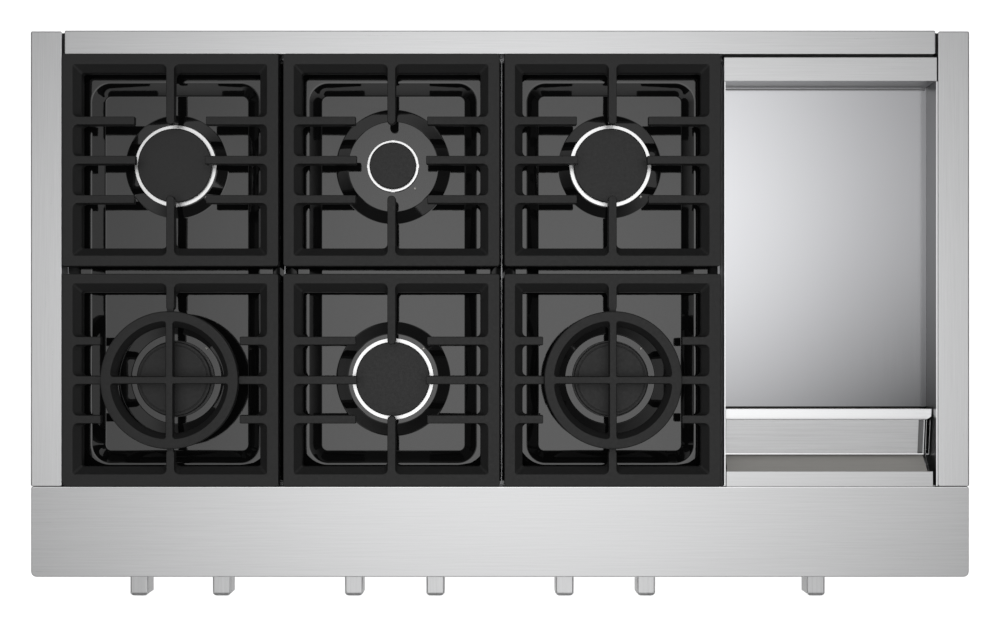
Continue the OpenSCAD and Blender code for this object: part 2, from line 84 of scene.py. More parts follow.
# ------------------------------------------------------------------ mesh building
class Mesh:
    def __init__(self):
        self.v, self.f = [], []

    def pts(self, p):
        i = len(self.v)
        self.v += [tuple(q) for q in p]
        return list(range(i, i + len(p)))

    def loop(self, poly, z):
        if isinstance(z, (int, float)):
            return self.pts([(x, y, z) for x, y in poly])
        return self.pts([(x, y, z(x, y)) for x, y in poly])

    def band(self, a, b, closed=True):
        n = len(a)
        for i in range(n if closed else n - 1):
            j = (i + 1) % n
            self.f.append((a[i], a[j], b[j], b[i]))

    def face(self, a):
        self.f.append(tuple(a))

    def fan(self, a, centre):
        c = self.pts([centre])[0]
        n = len(a)
        for i in range(n):
            self.f.append((a[i], a[(i + 1) % n], c))

    def fill(self, loops, drop=2):
        """Fill a flat region: the first loop is its outside, the rest are holes. drop is the axis to ignore."""
        keep = [k for k in (0, 1, 2) if k != drop]
        pl = [[Vector((self.v[i][keep[0]], self.v[i][keep[1]], 0.0)) for i in lp] for lp in loops]
        flat = [i for lp in loops for i in lp]
        for t in tessellate_polygon(pl):
            a, b, c = (flat[k] for k in t)
            if len({a, b, c}) == 3:
                self.f.append((a, b, c))


def make(name, m, mat, body, replaces=(), sharp=32.0, weld=True, bevel=None, wn=True, mats=None):
    me = bpy.data.meshes.new(name)
    me.from_pydata([(x * MM, y * MM, z * MM) for x, y, z in m.v], [], m.f)
    bm = bmesh.new()
    bm.from_mesh(me)
    if weld:
        bmesh.ops.remove_doubles(bm, verts=bm.verts, dist=2e-6)
    bmesh.ops.dissolve_degenerate(bm, edges=bm.edges, dist=1e-7)
    bmesh.ops.recalc_face_normals(bm, faces=bm.faces)
    for f in bm.faces:
        f.smooth = True
    bm.to_mesh(me)
    bm.free()
    me.set_sharp_from_angle(angle=math.radians(sharp))
    ob = bpy.data.objects.new(name, me)
    bpy.context.scene.collection.objects.link(ob)
    me.materials.append(mat)
    for extra in (mats or []):
        me.materials.append(extra)
    if bevel:
        b = ob.modifiers.new("edges", "BEVEL")
        b.width = bevel * MM
        b.segments = 3
        b.limit_method = "ANGLE"
        b.angle_limit = math.radians(30)
        b.harden_normals = False
    if wn:
        w = ob.modifiers.new("normals", "WEIGHTED_NORMAL")
        w.keep_sharp = True
        w.weight = 60
    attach(ob, body)
    if replaces:
        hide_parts(*replaces)
    return ob


def rr(x0, y0, x1, y1, r, n=6):
    """Rounded rectangle, counter-clockwise. r is one radius or four: front left, front right, rear right, rear left."""
    rs = [r] * 4 if isinstance(r, (int, float)) else list(r)
    out = []
    for (cx, cy, a0), q in zip(((x0, y0, PI), (x1, y0, 1.5 * PI), (x1, y1, 0.0), (x0, y1, 0.5 * PI)), rs):
        q = max(q, 0.02)
        mx = cx + q if cx == x0 else cx - q
        my = cy + q if cy == y0 else cy - q
        for k in range(n + 1):
            a = a0 + 0.5 * PI * k / n
            out.append((mx + q * math.cos(a), my + q * math.sin(a)))
    return out


def circ(cx, cy, r, n=96, a0=0.0):
    return [(cx + r * math.cos(a0 + 2 * PI * k / n), cy + r * math.sin(a0 + 2 * PI * k / n)) for k in range(n)]


def fil(poly, n=5):
    """Round each corner of a polygon of (x, y, r); r None leaves a plain point."""
    out = []
    m = len(poly)
    for i, (x, y, r) in enumerate(poly):
        if r is None:
            out.append((x, y))
            continue
        px, py = poly[i - 1][:2]
        qx, qy = poly[(i + 1) % m][:2]
        a, b = Vector((px - x, py - y)), Vector((qx - x, qy - y))
        la, lb = a.length, b.length
        a.normalize()
        b.normalize()
        th = a.angle(b)
        t = min(r / math.tan(th / 2), 0.49 * la, 0.49 * lb)
        rad = t * math.tan(th / 2)
        bis = (a + b).normalized()
        c = Vector((x, y)) + bis * (rad / math.sin(th / 2))
        s, e = Vector((x, y)) + a * t - c, Vector((x, y)) + b * t - c
        s0, e0 = math.atan2(s.y, s.x), math.atan2(e.y, e.x)
        d = (e0 - s0 + PI) % (2 * PI) - PI
        for k in range(n + 1):
            g = s0 + d * k / n
            out.append((c.x + rad * math.cos(g), c.y + rad * math.sin(g)))
    return out


def slab(m, plan, z0, z1, rt=1.0, rb=0.4, n=4, wide=None):
    """Closed solid over a plan(inset) outline, with rounded upper and lower edges. wide makes the upper edge an ellipse."""
    rx = wide or rt
    lv = [(rb * (1 - math.sin(0.5 * PI * k / n)), z0 + rb * (1 - math.cos(0.5 * PI * k / n))) for k in range(n + 1)]
    lv += [(rx * (1 - math.cos(0.5 * PI * k / n)), z1 - rt + rt * math.sin(0.5 * PI * k / n)) for k in range(n + 1)]
    loops = [m.loop(plan(i), z) for i, z in lv]
    for a, b in zip(loops, loops[1:]):
        m.band(a, b)
    m.face(loops[0][::-1])
    m.face(loops[-1])


def rbox(m, a, b, r=0.6, rv=None, n=3):
    rv = r if rv is None else rv
    r = min(r, 0.49 * (b[2] - a[2]))
    slab(m, lambda i: rr(a[0] + i, a[1] + i, b[0] - i, b[1] - i, max(rv - i, 0.05), n), a[2], b[2], r, r, n)


def lathe(m, prof, cx, cy, n=96, axis="z", close=False, cz=0.0):
    """prof is (radius, height) pairs. axis y turns about Y, with the height as y."""
    rings = []
    for r, h in prof:
        if r < 1e-6:
            rings.append(m.pts([(cx, cy, h)] if axis == "z" else [(cx, h, cz)]))
        else:
            p = []
            for k in range(n):
                a = 2 * PI * k / n
                if axis == "z":
                    p.append((cx + r * math.cos(a), cy + r * math.sin(a), h))
                else:
                    p.append((cx + r * math.cos(a), h, cz + r * math.sin(a)))
            rings.append(m.pts(p))
    seq = list(zip(rings, rings[1:]))
    if close:
        seq.append((rings[-1], rings[0]))
    for a, b in seq:
        if len(a) == 1 and len(b) == 1:
            continue
        if len(a) == 1:
            for k in range(n):
                m.f.append((b[k], b[(k + 1) % n], a[0]))
        elif len(b) == 1:
            for k in range(n):
                m.f.append((a[k], a[(k + 1) % n], b[0]))
        else:
            m.band(a, b)


def arc(cx, cy, r, a0, a1, n=5):
    """Points of an arc in a profile, angles in degrees."""
    return [(cx + r * math.cos(math.radians(a0 + (a1 - a0) * k / n)), cy + r * math.sin(math.radians(a0 + (a1 - a0) * k / n)))
            for k in range(n + 1)]


def prism_x(m, prof, x0, x1):
    """Solid with a (y, z) outline along X."""
    a = m.pts([(x0, y, z) for y, z in prof])
    b = m.pts([(x1, y, z) for y, z in prof])
    m.band(a, b)
    m.fill([a], drop=0)
    m.fill([b], drop=0)


def prism_y(m, prof, y0, y1):
    a = m.pts([(x, y0, z) for x, z in prof])
    b = m.pts([(x, y1, z) for x, z in prof])
    m.band(a, b)
    m.fill([a], drop=1)
    m.fill([b], drop=1)


# ------------------------------------------------------------------ materials
def rgb(v, blue=0.0):
    return (v * (1 - 0.5 * blue), v, v * (1 + blue), 1.0)


class Mat:
    def __init__(self, name):
        self.m = bpy.data.materials.new(name)
        self.m.use_nodes = True
        self.t = self.m.node_tree
        self.t.nodes.clear()
        self.out = self.t.nodes.new("ShaderNodeOutputMaterial")
        self.b = self.t.nodes.new("ShaderNodeBsdfPrincipled")
        self.t.links.new(self.b.outputs[0], self.out.inputs["Surface"])
        self.co = self.t.nodes.new("ShaderNodeTexCoord").outputs["Object"]

    def n(self, kind, **kw):
        nd = self.t.nodes.new(kind)
        for k, v in kw.items():
            setattr(nd, k, v)
        return nd

    def link(self, a, b):
        self.t.links.new(a, b)

    def mapped(self, scale):
        mp = self.n("ShaderNodeMapping")
        mp.inputs["Scale"].default_value = scale
        self.link(self.co, mp.inputs["Vector"])
        return mp.outputs["Vector"]

    def noise(self, scale=1.0, detail=4.0, rough=0.55, vec=None, distort=0.0):
        nd = self.n("ShaderNodeTexNoise")
        nd.inputs["Scale"].default_value = scale
        nd.inputs["Detail"].default_value = detail
        nd.inputs["Roughness"].default_value = rough
        nd.inputs["Distortion"].default_value = distort
        self.link(vec if vec is not None else self.co, nd.inputs["Vector"])
        return nd.outputs["Fac"]

    def rangeof(self, src, a, b, lo, hi, smooth=False):
        nd = self.n("ShaderNodeMapRange")
        if smooth:
            nd.interpolation_type = "SMOOTHSTEP"
        for k, v in zip(("From Min", "From Max", "To Min", "To Max"), (a, b, lo, hi)):
            nd.inputs[k].default_value = v
        self.link(src, nd.inputs["Value"])
        return nd.outputs["Result"]

    def ramp(self, src, stops):
        nd = self.n("ShaderNodeValToRGB")
        el = nd.color_ramp.elements
        while len(el) > len(stops):
            el.remove(el[-1])
        while len(el) < len(stops):
            el.new(0.5)
        for e, (p, c) in zip(el, stops):
            e.position = p
            e.color = c
        self.link(src, nd.inputs["Fac"])
        return nd.outputs["Color"]

    def math(self, op, a, b):
        nd = self.n("ShaderNodeMath", operation=op)
        for i, v in enumerate((a, b)):
            if isinstance(v, (int, float)):
                nd.inputs[i].default_value = v
            else:
                self.link(v, nd.inputs[i])
        return nd.outputs[0]

    def mix(self, fac, a, b, mode="MIX"):
        nd = self.n("ShaderNodeMix", data_type="RGBA", blend_type=mode)
        if isinstance(fac, (int, float)):
            nd.inputs[0].default_value = fac
        else:
            self.link(fac, nd.inputs[0])
        for i, v in ((6, a), (7, b)):
            if isinstance(v, tuple):
                nd.inputs[i].default_value = v
            else:
                self.link(v, nd.inputs[i])
        return nd.outputs[2]

    def bump(self, height, strength, dist=0.0005, prev=None):
        nd = self.n("ShaderNodeBump")
        nd.inputs["Strength"].default_value = strength
        nd.inputs["Distance"].default_value = dist
        self.link(height, nd.inputs["Height"])
        if prev is not None:
            self.link(prev, nd.inputs["Normal"])
        self.link(nd.outputs[0], self.b.inputs["Normal"])
        return nd.outputs[0]

    def set(self, **kw):
        for k, v in kw.items():
            self.b.inputs[k.replace("_", " ")].default_value = v
        return self


def brushed(name, axis, base=0.60, rough=0.30, grain=1.0, blue=0.008, metal=1.0):
    """Stainless sheet, brushed along one axis: long fine scratches in the colour, roughness and relief."""
    k = Mat(name)
    i = "xyz".index(axis)
    fine, mid, broad = [1500.0] * 3, [420.0] * 3, [55.0] * 3
    fine[i], mid[i], broad[i] = 14.0, 9.0, 3.0
    a = k.noise(1.0, 3.0, 0.6, k.mapped(fine))
    b = k.noise(1.0, 4.0, 0.65, k.mapped(mid))
    c = k.noise(1.0, 2.0, 0.5, k.mapped(broad))
    s = k.math("ADD", k.math("MULTIPLY", a, 0.40), k.math("MULTIPLY", b, 0.60))
    s = k.math("ADD", k.math("MULTIPLY", s, 0.85), k.math("MULTIPLY", c, 0.15))
    d = 0.10 * grain
    col = k.ramp(s, [(0.30, rgb(base * (1 - d), blue)), (0.5, rgb(base, blue)), (0.70, rgb(base * (1 + d), blue))])
    k.link(col, k.b.inputs["Base Color"])
    k.link(k.rangeof(s, 0.3, 0.7, rough - 0.04, rough + 0.05), k.b.inputs["Roughness"])
    k.bump(s, 0.10 * grain, 0.0004)
    k.set(Metallic=metal)
    return k.m


def cast(name, base, rough, relief, sheen_lo=0.35):
    k = Mat(name)
    fine = k.noise(1500.0, 5.0, 0.65)
    mid = k.noise(260.0, 4.0, 0.6)
    big = k.noise(22.0, 3.0, 0.5)
    s = k.math("ADD", k.math("MULTIPLY", fine, 0.55), k.math("MULTIPLY", mid, 0.45))
    col = k.ramp(s, [(0.30, rgb(base * 0.78)), (0.55, rgb(base)), (0.75, rgb(base * 1.35))])
    col = k.mix(k.rangeof(big, 0.35, 0.7, 0.0, 0.35), col, rgb(base * 1.15, 0.01))
    k.link(col, k.b.inputs["Base Color"])
    k.link(k.rangeof(mid, 0.3, 0.7, rough - 0.06, rough + 0.06), k.b.inputs["Roughness"])
    k.bump(s, relief, 0.0004)
    k.set(Metallic=0.0)
    k.b.inputs["Specular IOR Level"].default_value = 0.5
    return k.m


def enamel(name):
    """Gloss black vitreous enamel: near-black glass with a trace of orange peel."""
    k = Mat(name)
    peel = k.noise(70.0, 3.0, 0.5)
    speck = k.noise(900.0, 2.0, 0.5)
    col = k.ramp(speck, [(0.35, rgb(0.0045)), (0.65, rgb(0.0075, 0.03))])
    k.link(col, k.b.inputs["Base Color"])
    k.link(k.rangeof(peel, 0.3, 0.7, 0.035, 0.06), k.b.inputs["Roughness"])
    k.bump(peel, 0.05, 0.0006)
    k.set(Metallic=0.0)
    k.b.inputs["Specular IOR Level"].default_value = 0.72
    k.b.inputs["IOR"].default_value = 1.56
    return k.m


def machined(name, base=0.86, rough=0.26):
    """Turned aluminium alloy with fine random scratches."""
    k = Mat(name)
    a = k.noise(700.0, 4.0, 0.6)
    col = k.ramp(a, [(0.3, rgb(base * 0.92)), (0.7, rgb(base * 1.04))])
    k.link(col, k.b.inputs["Base Color"])
    k.link(k.rangeof(a, 0.3, 0.7, rough - 0.05, rough + 0.08), k.b.inputs["Roughness"])
    k.bump(a, 0.06, 0.0002)
    k.set(Metallic=1.0)
    return k.m


def griddle_steel(name, x0, x1, y0, y1):
    """Ground and polished plate: a cloudy mirror, with painted shade darkening it towards the front and the right."""
    k = Mat(name)
    sep = k.n("ShaderNodeSeparateXYZ")
    k.link(k.co, sep.inputs[0])
    u = k.rangeof(sep.outputs[0], x0 * MM, x1 * MM, 0.0, 1.0)
    v = k.rangeof(sep.outputs[1], y0 * MM, y1 * MM, 1.0, 0.0)
    cloud = k.noise(6.0, 3.0, 0.5, distort=0.3)
    # painted shade: the colour is darkened towards the right (u) and the front (v), where the plate's reflection of the
    # light falls off
    g = k.math("ADD", k.math("MULTIPLY", k.math("POWER", u, 1.6), -0.20), k.math("MULTIPLY", k.math("POWER", v, 2.6), -0.331))
    g = k.math("ADD", k.math("ADD", g, 0.633), k.math("MULTIPLY", k.math("SUBTRACT", cloud, 0.5), 0.03))
    col = k.ramp(g, [(0.0, (0.0, 0.0, 0.0, 1)), (1.0, (0.985, 0.99, 1.02, 1))])
    grind = k.noise(1.0, 3.0, 0.6, k.mapped((500.0, 10.0, 500.0)))
    col = k.mix(k.rangeof(grind, 0.3, 0.7, 0.0, 0.03), col, rgb(0.6, 0.02))
    k.link(col, k.b.inputs["Base Color"])
    k.link(k.rangeof(cloud, 0.3, 0.7, 0.10, 0.16), k.b.inputs["Roughness"])
    k.bump(grind, 0.03, 0.0002)
    k.set(Metallic=1.0)
    return k.m


def galvanised(name):
    k = Mat(name)
    vo = k.n("ShaderNodeTexVoronoi")
    vo.inputs["Scale"].default_value = 95.0
    k.link(k.co, vo.inputs["Vector"])
    bw = k.n("ShaderNodeRGBToBW")
    k.link(vo.outputs["Color"], bw.inputs[0])
    fine = k.noise(400.0, 3.0, 0.6)
    s = k.math("ADD", k.math("MULTIPLY", bw.outputs[0], 0.7), k.math("MULTIPLY", fine, 0.3))
    col = k.ramp(s, [(0.2, rgb(0.42, 0.02)), (0.8, rgb(0.56, 0.02))])
    k.link(col, k.b.inputs["Base Color"])
    k.link(k.rangeof(s, 0.2, 0.8, 0.34, 0.5), k.b.inputs["Roughness"])
    k.bump(fine, 0.05, 0.0003)
    k.set(Metallic=0.9)
    return k.m


def toned(name, c, rough, metallic=0.0, scale=300.0, relief=0.08, vary=0.12):
    k = Mat(name)
    a = k.noise(scale, 4.0, 0.6)
    col = k.ramp(a, [(0.3, tuple(v * (1 - vary) for v in c) + (1.0,)), (0.7, tuple(min(1.0, v * (1 + vary)) for v in c) + (1.0,))])
    k.link(col, k.b.inputs["Base Color"])
    k.link(k.rangeof(a, 0.3, 0.7, max(0.03, rough - 0.06), rough + 0.06), k.b.inputs["Roughness"])
    k.bump(a, relief, 0.0003)
    k.set(Metallic=metallic)
    return k.m


STEEL_X = brushed("stainless_grain_x", "x")
STEEL_Y = brushed("stainless_grain_y", "y", base=0.70)
STEEL_R = brushed("stainless_rear_x", "x", base=0.68)
STEEL_Z = brushed("stainless_grain_z", "z")
TRAY_X = brushed("stainless_tray_x", "x", base=0.78, rough=0.34, grain=1.5)
# darker copies of the stainless for the griddle's side and splash walls: painted shade
WALL = brushed("stainless_wall_y", "y", base=0.40, rough=0.34, grain=1.0)
WALLX = brushed("stainless_wall_x", "x", base=0.50, rough=0.34, grain=1.0)
TRAYWALL = brushed("stainless_trough", "x", base=0.56, rough=0.60, grain=0.8, blue=-0.05, metal=0.15)
# near-white copy of the stainless for the guard's flat top lip: painted highlight
HIGHLIGHT_LIP = brushed("painted_highlight_lip", "x", base=0.95, rough=0.36, grain=0.6)
# dark copy of the stainless: painted shade
SHADE_STEEL = brushed("stainless_painted_shade", "x", base=0.22, rough=0.42, grain=0.8)
# brighter, glossier copy of the stainless for thin strips along edges: painted highlight
HIGHLIGHT_STEEL = brushed("stainless_painted_edge_highlight", "x", base=0.82, rough=0.16, grain=0.4)
GRIDDLE = griddle_steel("griddle_steel", P0[0], P1[0], P0[1], P1[1])
ENAMEL = enamel("gloss_enamel")
IRON = cast("cast_iron_enamel", 0.018, 0.55, 0.30)
CAPMAT = cast("cap_enamel", 0.024, 0.52, 0.14)
ALLOY = machined("burner_alloy", 0.93, 0.30)
DARKALLOY = cast("burner_dark_alloy", 0.05, 0.4, 0.10)
FLAT = brushed("knob_ground_flat", "z", base=0.24, rough=0.38, grain=0.8)
KNOB = brushed("knob_satin", "y", base=0.60, rough=0.30, grain=1.6)
GALV = galvanised("galvanised_sheet")
BRASS = toned("brass", (0.74, 0.56, 0.27), 0.28, 1.0)
TUBE = toned("aluminium_tube", (0.74, 0.74, 0.75), 0.33, 1.0)
CERAMIC = toned("glazed_ceramic", (0.84, 0.82, 0.76), 0.16, 0.0, 500.0, 0.02, 0.04)
PLASTIC = toned("module_plastic", (0.045, 0.045, 0.05), 0.45, 0.0, 800.0, 0.2)
# near-black fill set low in the gaps between parts: painted shade
GAP_SHADE = toned("painted_gap_shade", (0.012, 0.012, 0.013), 0.6, 0.0, 900.0, 0.1)
SCREW = toned("screw_steel", (0.62, 0.62, 0.63), 0.3, 1.0)


# ------------------------------------------------------------------ control panel: ledge, lip and fascia
def build_control_panel():
    z0 = LEDGE_Z - 26.0
    m = Mesh()

    def plan(i):
        return rr(-HW + i, LEDGE_Y0 + i, HW - i, LEDGE_Y1 - i, [7.0 - i, 7.0 - i, max(2.6 - i, 0.3), max(2.6 - i, 0.3)], 8)
    slab(m, plan, z0, LEDGE_Z, 0.9, 0.8, 6, 1.2)
    # fascia under the lip, with the seven spindle holes
    fy0, fy1, fz0, fz1 = -322.0, -302.0, 8.0, z0 + 1.5
    xs = [(mmbox("knob_%d" % i)[0][0] + mmbox("knob_%d" % i)[1][0]) / 2 for i in range(1, 8)]
    kz = (mmbox("knob_1")[0][2] + mmbox("knob_1")[1][2]) / 2
    rings = []
    for y, ins in ((fy0, 1.2), (fy0 + 0.35, 0.35), (fy0 + 1.2, 0.0), (fy1, 0.0)):
        rings.append(m.pts([(x, y, z) for x, z in rr(-HW + 0.3 + ins, fz0 + ins, HW - 0.3 - ins, fz1, 0.6, 2)]))
    for a, b in zip(rings, rings[1:]):
        m.band(a, b)
    fr, bk = [], []
    for x in xs:
        a = m.pts([(px, fy0, pz) for px, pz in circ(x, kz, 8.0, 40)])
        b = m.pts([(px, fy1, pz) for px, pz in circ(x, kz, 8.0, 40)])
        m.band(a, b)
        fr.append(a)
        bk.append(b)
    m.fill([rings[0]] + fr, drop=1)
    m.fill([rings[-1]] + bk, drop=1)
    make("control_panel_sheet", m, STEEL_X, "chassis", ["control_panel"])
    m = Mesh()
    # dark tabs under the ends of the ledge's rear edge close the gaps below the side trims: painted shade
    for s in (-1, 1):
        xa, xb = sorted((s * (HW - 22.0), s * (HW - 0.4)))
        rbox(m, (xa, LEDGE_Y1 - 1.0, LEDGE_Z - 20.0), (xb, LEDGE_Y1 + 2.6, LEDGE_Z - 8.0), 0.3)
    # a brighter, glossier strip along the ledge's rear edge: painted highlight
    e = Mesh()
    rbox(e, (-HW + 2.0, LEDGE_Y1 - 1.7, LEDGE_Z - 0.8), (HW - 2.0, LEDGE_Y1 - 0.35, LEDGE_Z + 0.03), 0.3)
    make("ledge_rear_edge", e, HIGHLIGHT_STEEL, "chassis", [])
    make("ledge_end_shade_tabs", m, DARKALLOY, "chassis", [])


def build_trims():
    for nm in ("left", "right"):
        lo, hi = mmbox(nm + "_side_trim")
        m = Mesh()
        ka, kb = (1.9, 1.0) if nm == "left" else (1.0, 1.9)
        slab(m, lambda i: rr(lo[0] + ka * i, lo[1] + i, hi[0] - kb * i, hi[1] - 1.5 * i, max(2.4 - i, 0.2), 6), lo[2], hi[2], 0.9, 0.5, 6, 1.1)
        make(nm + "_trim_sheet", m, STEEL_Y, "chassis", [nm + "_side_trim"])
    lo, hi = mmbox("rear_trim")
    m = Mesh()
    slab(m, lambda i: rr(lo[0] + i, lo[1] - 1.2 + i, hi[0] - i, hi[1] - 1.6 * i, max(1.8 - i, 0.2), 6), lo[2], hi[2], 0.8, 0.5, 6, 1.0)
    make("rear_trim_sheet", m, STEEL_R, "chassis", ["rear_trim"])
    # near-black strips in the joints beside and in front of the rear trim: painted shade in the gaps
    m = Mesh()
    for s in (-1, 1):
        xa, xb = sorted((s * (hi[0] - 0.3), s * (TRIM_IN + 0.3)))
        rbox(m, (xa, lo[1] + 0.5, lo[2] + 4.0), (xb, hi[1] - 1.6, hi[2] - 9.0), 0.3)
    rbox(m, (G0[0] + 1.0, G1[1] - 0.4, lo[2] + 8.0), (G1[0] - 1.0, lo[1] - 0.9, hi[2] - 12.0), 0.3)
    make("trim_gap_shade", m, GAP_SHADE, "chassis", [])


# ------------------------------------------------------------------ burner pans
def build_pans():
    # recess wall: t is 0 at the floor's edge and 1 at the rim
    wall = [(-0.05, FLOOR_Z), (-0.01, FLOOR_Z + 0.1), (0.02, FLOOR_Z + 0.35), (0.05, FLOOR_Z + 0.75), (0.09, FLOOR_Z + 1.4), (0.50, FLOOR_Z + 6.5),
            (0.90, FLOOR_Z + 11.42), (0.93, FLOOR_Z + 11.68), (0.965, FLOOR_Z + 11.86), (1.01, FLOOR_Z + 11.97), (1.08, FLOOR_Z + 12.0)]
    # near-black strips low in the joints beside the pans: painted shade in the gaps
    m = Mesh()
    ends = [-TRIM_IN] + [q for pb in PANS for q in (pb[0][0], pb[1][0])] + [G0[0]]
    for xa, xb in zip(ends[0::2], ends[1::2]):
        if xb - xa > 0.4:
            rbox(m, (xa + 0.02, PAN_Y0 + 1.0, PAN_Z - 14.0), (xb - 0.02, PAN_Y1 - 1.0, PAN_Z - 10.5), 0.08)
    make("pan_gap_shade", m, GAP_SHADE, "chassis", [])
    for c, nm in enumerate(("left", "middle", "right")):
        cx = COLS[c]
        m = Mesh()

        def outline(t):
            hx, hy, r = 94.0 + 16.4 * t, 233.2 + 16.6 * t, 8.0 + 17.5 * t
            return rr(cx - hx, REC_MID - hy, cx + hx, REC_MID + hy, r, 12)
        loops = [m.loop(outline(t), z) for t, z in wall]
        for a, b in zip(loops, loops[1:]):
            m.band(a, b)
        # flat bead round the recess, the fall outside it, and the skirt
        bead = []
        for o, dz in [(0.0, 0.0), (0.4, 0.06), (0.8, 0.26), (1.2, 0.6), (3.0, 2.1)]:
            bead.append(m.loop(rr(cx - 123.7 - o, REC_MID - 253.5 - o, cx + 127.0 + o, REC_MID + 259.0 + o, [46.0 + o, 46.0 + o, 30.0 + o, 30.0 + o], 12), PAN_Z - dz))
        for a, b in zip(bead, bead[1:]):
            m.band(a, b)
        m.fill([bead[0], loops[-1]])
        edge = []
        for i, z in [(0.2, PAN_Z - 7.9), (0.2, PAN_Z - 10.0)]:
            edge.append(m.loop(rr(cx - PAN_HX + i, PAN_Y0 + i, cx + PAN_HX - i, PAN_Y1 - i, max(6.5 - i, 0.9), 5), z))
        for a, b in zip(edge, edge[1:]):
            m.band(a, b)
        m.fill([edge[0], bead[-1]])
        # burner seats
        holes = []
        for y in (BY_REAR, BY_FRONT):
            rear = y > 0
            ro, ri = (67.5, 53.6) if rear and c != 1 else (75.0, 59.0)
            rh = (SIM_R if rear and c == 1 else CAP_R) - 2.2
            w = ro - ri
            prof = [(ro + 0.9, FLOOR_Z), (ro + 0.2, FLOOR_Z + 0.1), (ro - 0.4, FLOOR_Z + 0.34), (ro - 1.0, FLOOR_Z + 0.66)]
            prof += [(ri + 1.2, SEAT_Z - 0.6), (ri + 0.6, SEAT_Z - 0.28), (ri, SEAT_Z - 0.07), (ri - 0.7, SEAT_Z), (rh, SEAT_Z),
                     (rh, SEAT_Z - 1.5)]
            rg = [m.loop(circ(cx, y, r, 120), z) for r, z in prof]
            for a, b in zip(rg, rg[1:]):
                m.band(a, b)
            holes.append(rg[0])
        m.fill([loops[0]] + holes)
        ob = make("pan_%s_enamel" % nm, m, ENAMEL, "chassis", ["burner_pan_" + nm], sharp=40, wn=False)
        s = ob.modifiers.new("sheet", "SOLIDIFY")
        s.thickness = 1.2 * MM
        s.offset = -1.0
        w = ob.modifiers.new("normals", "WEIGHTED_NORMAL")
        w.keep_sharp = True
        w.weight = 60


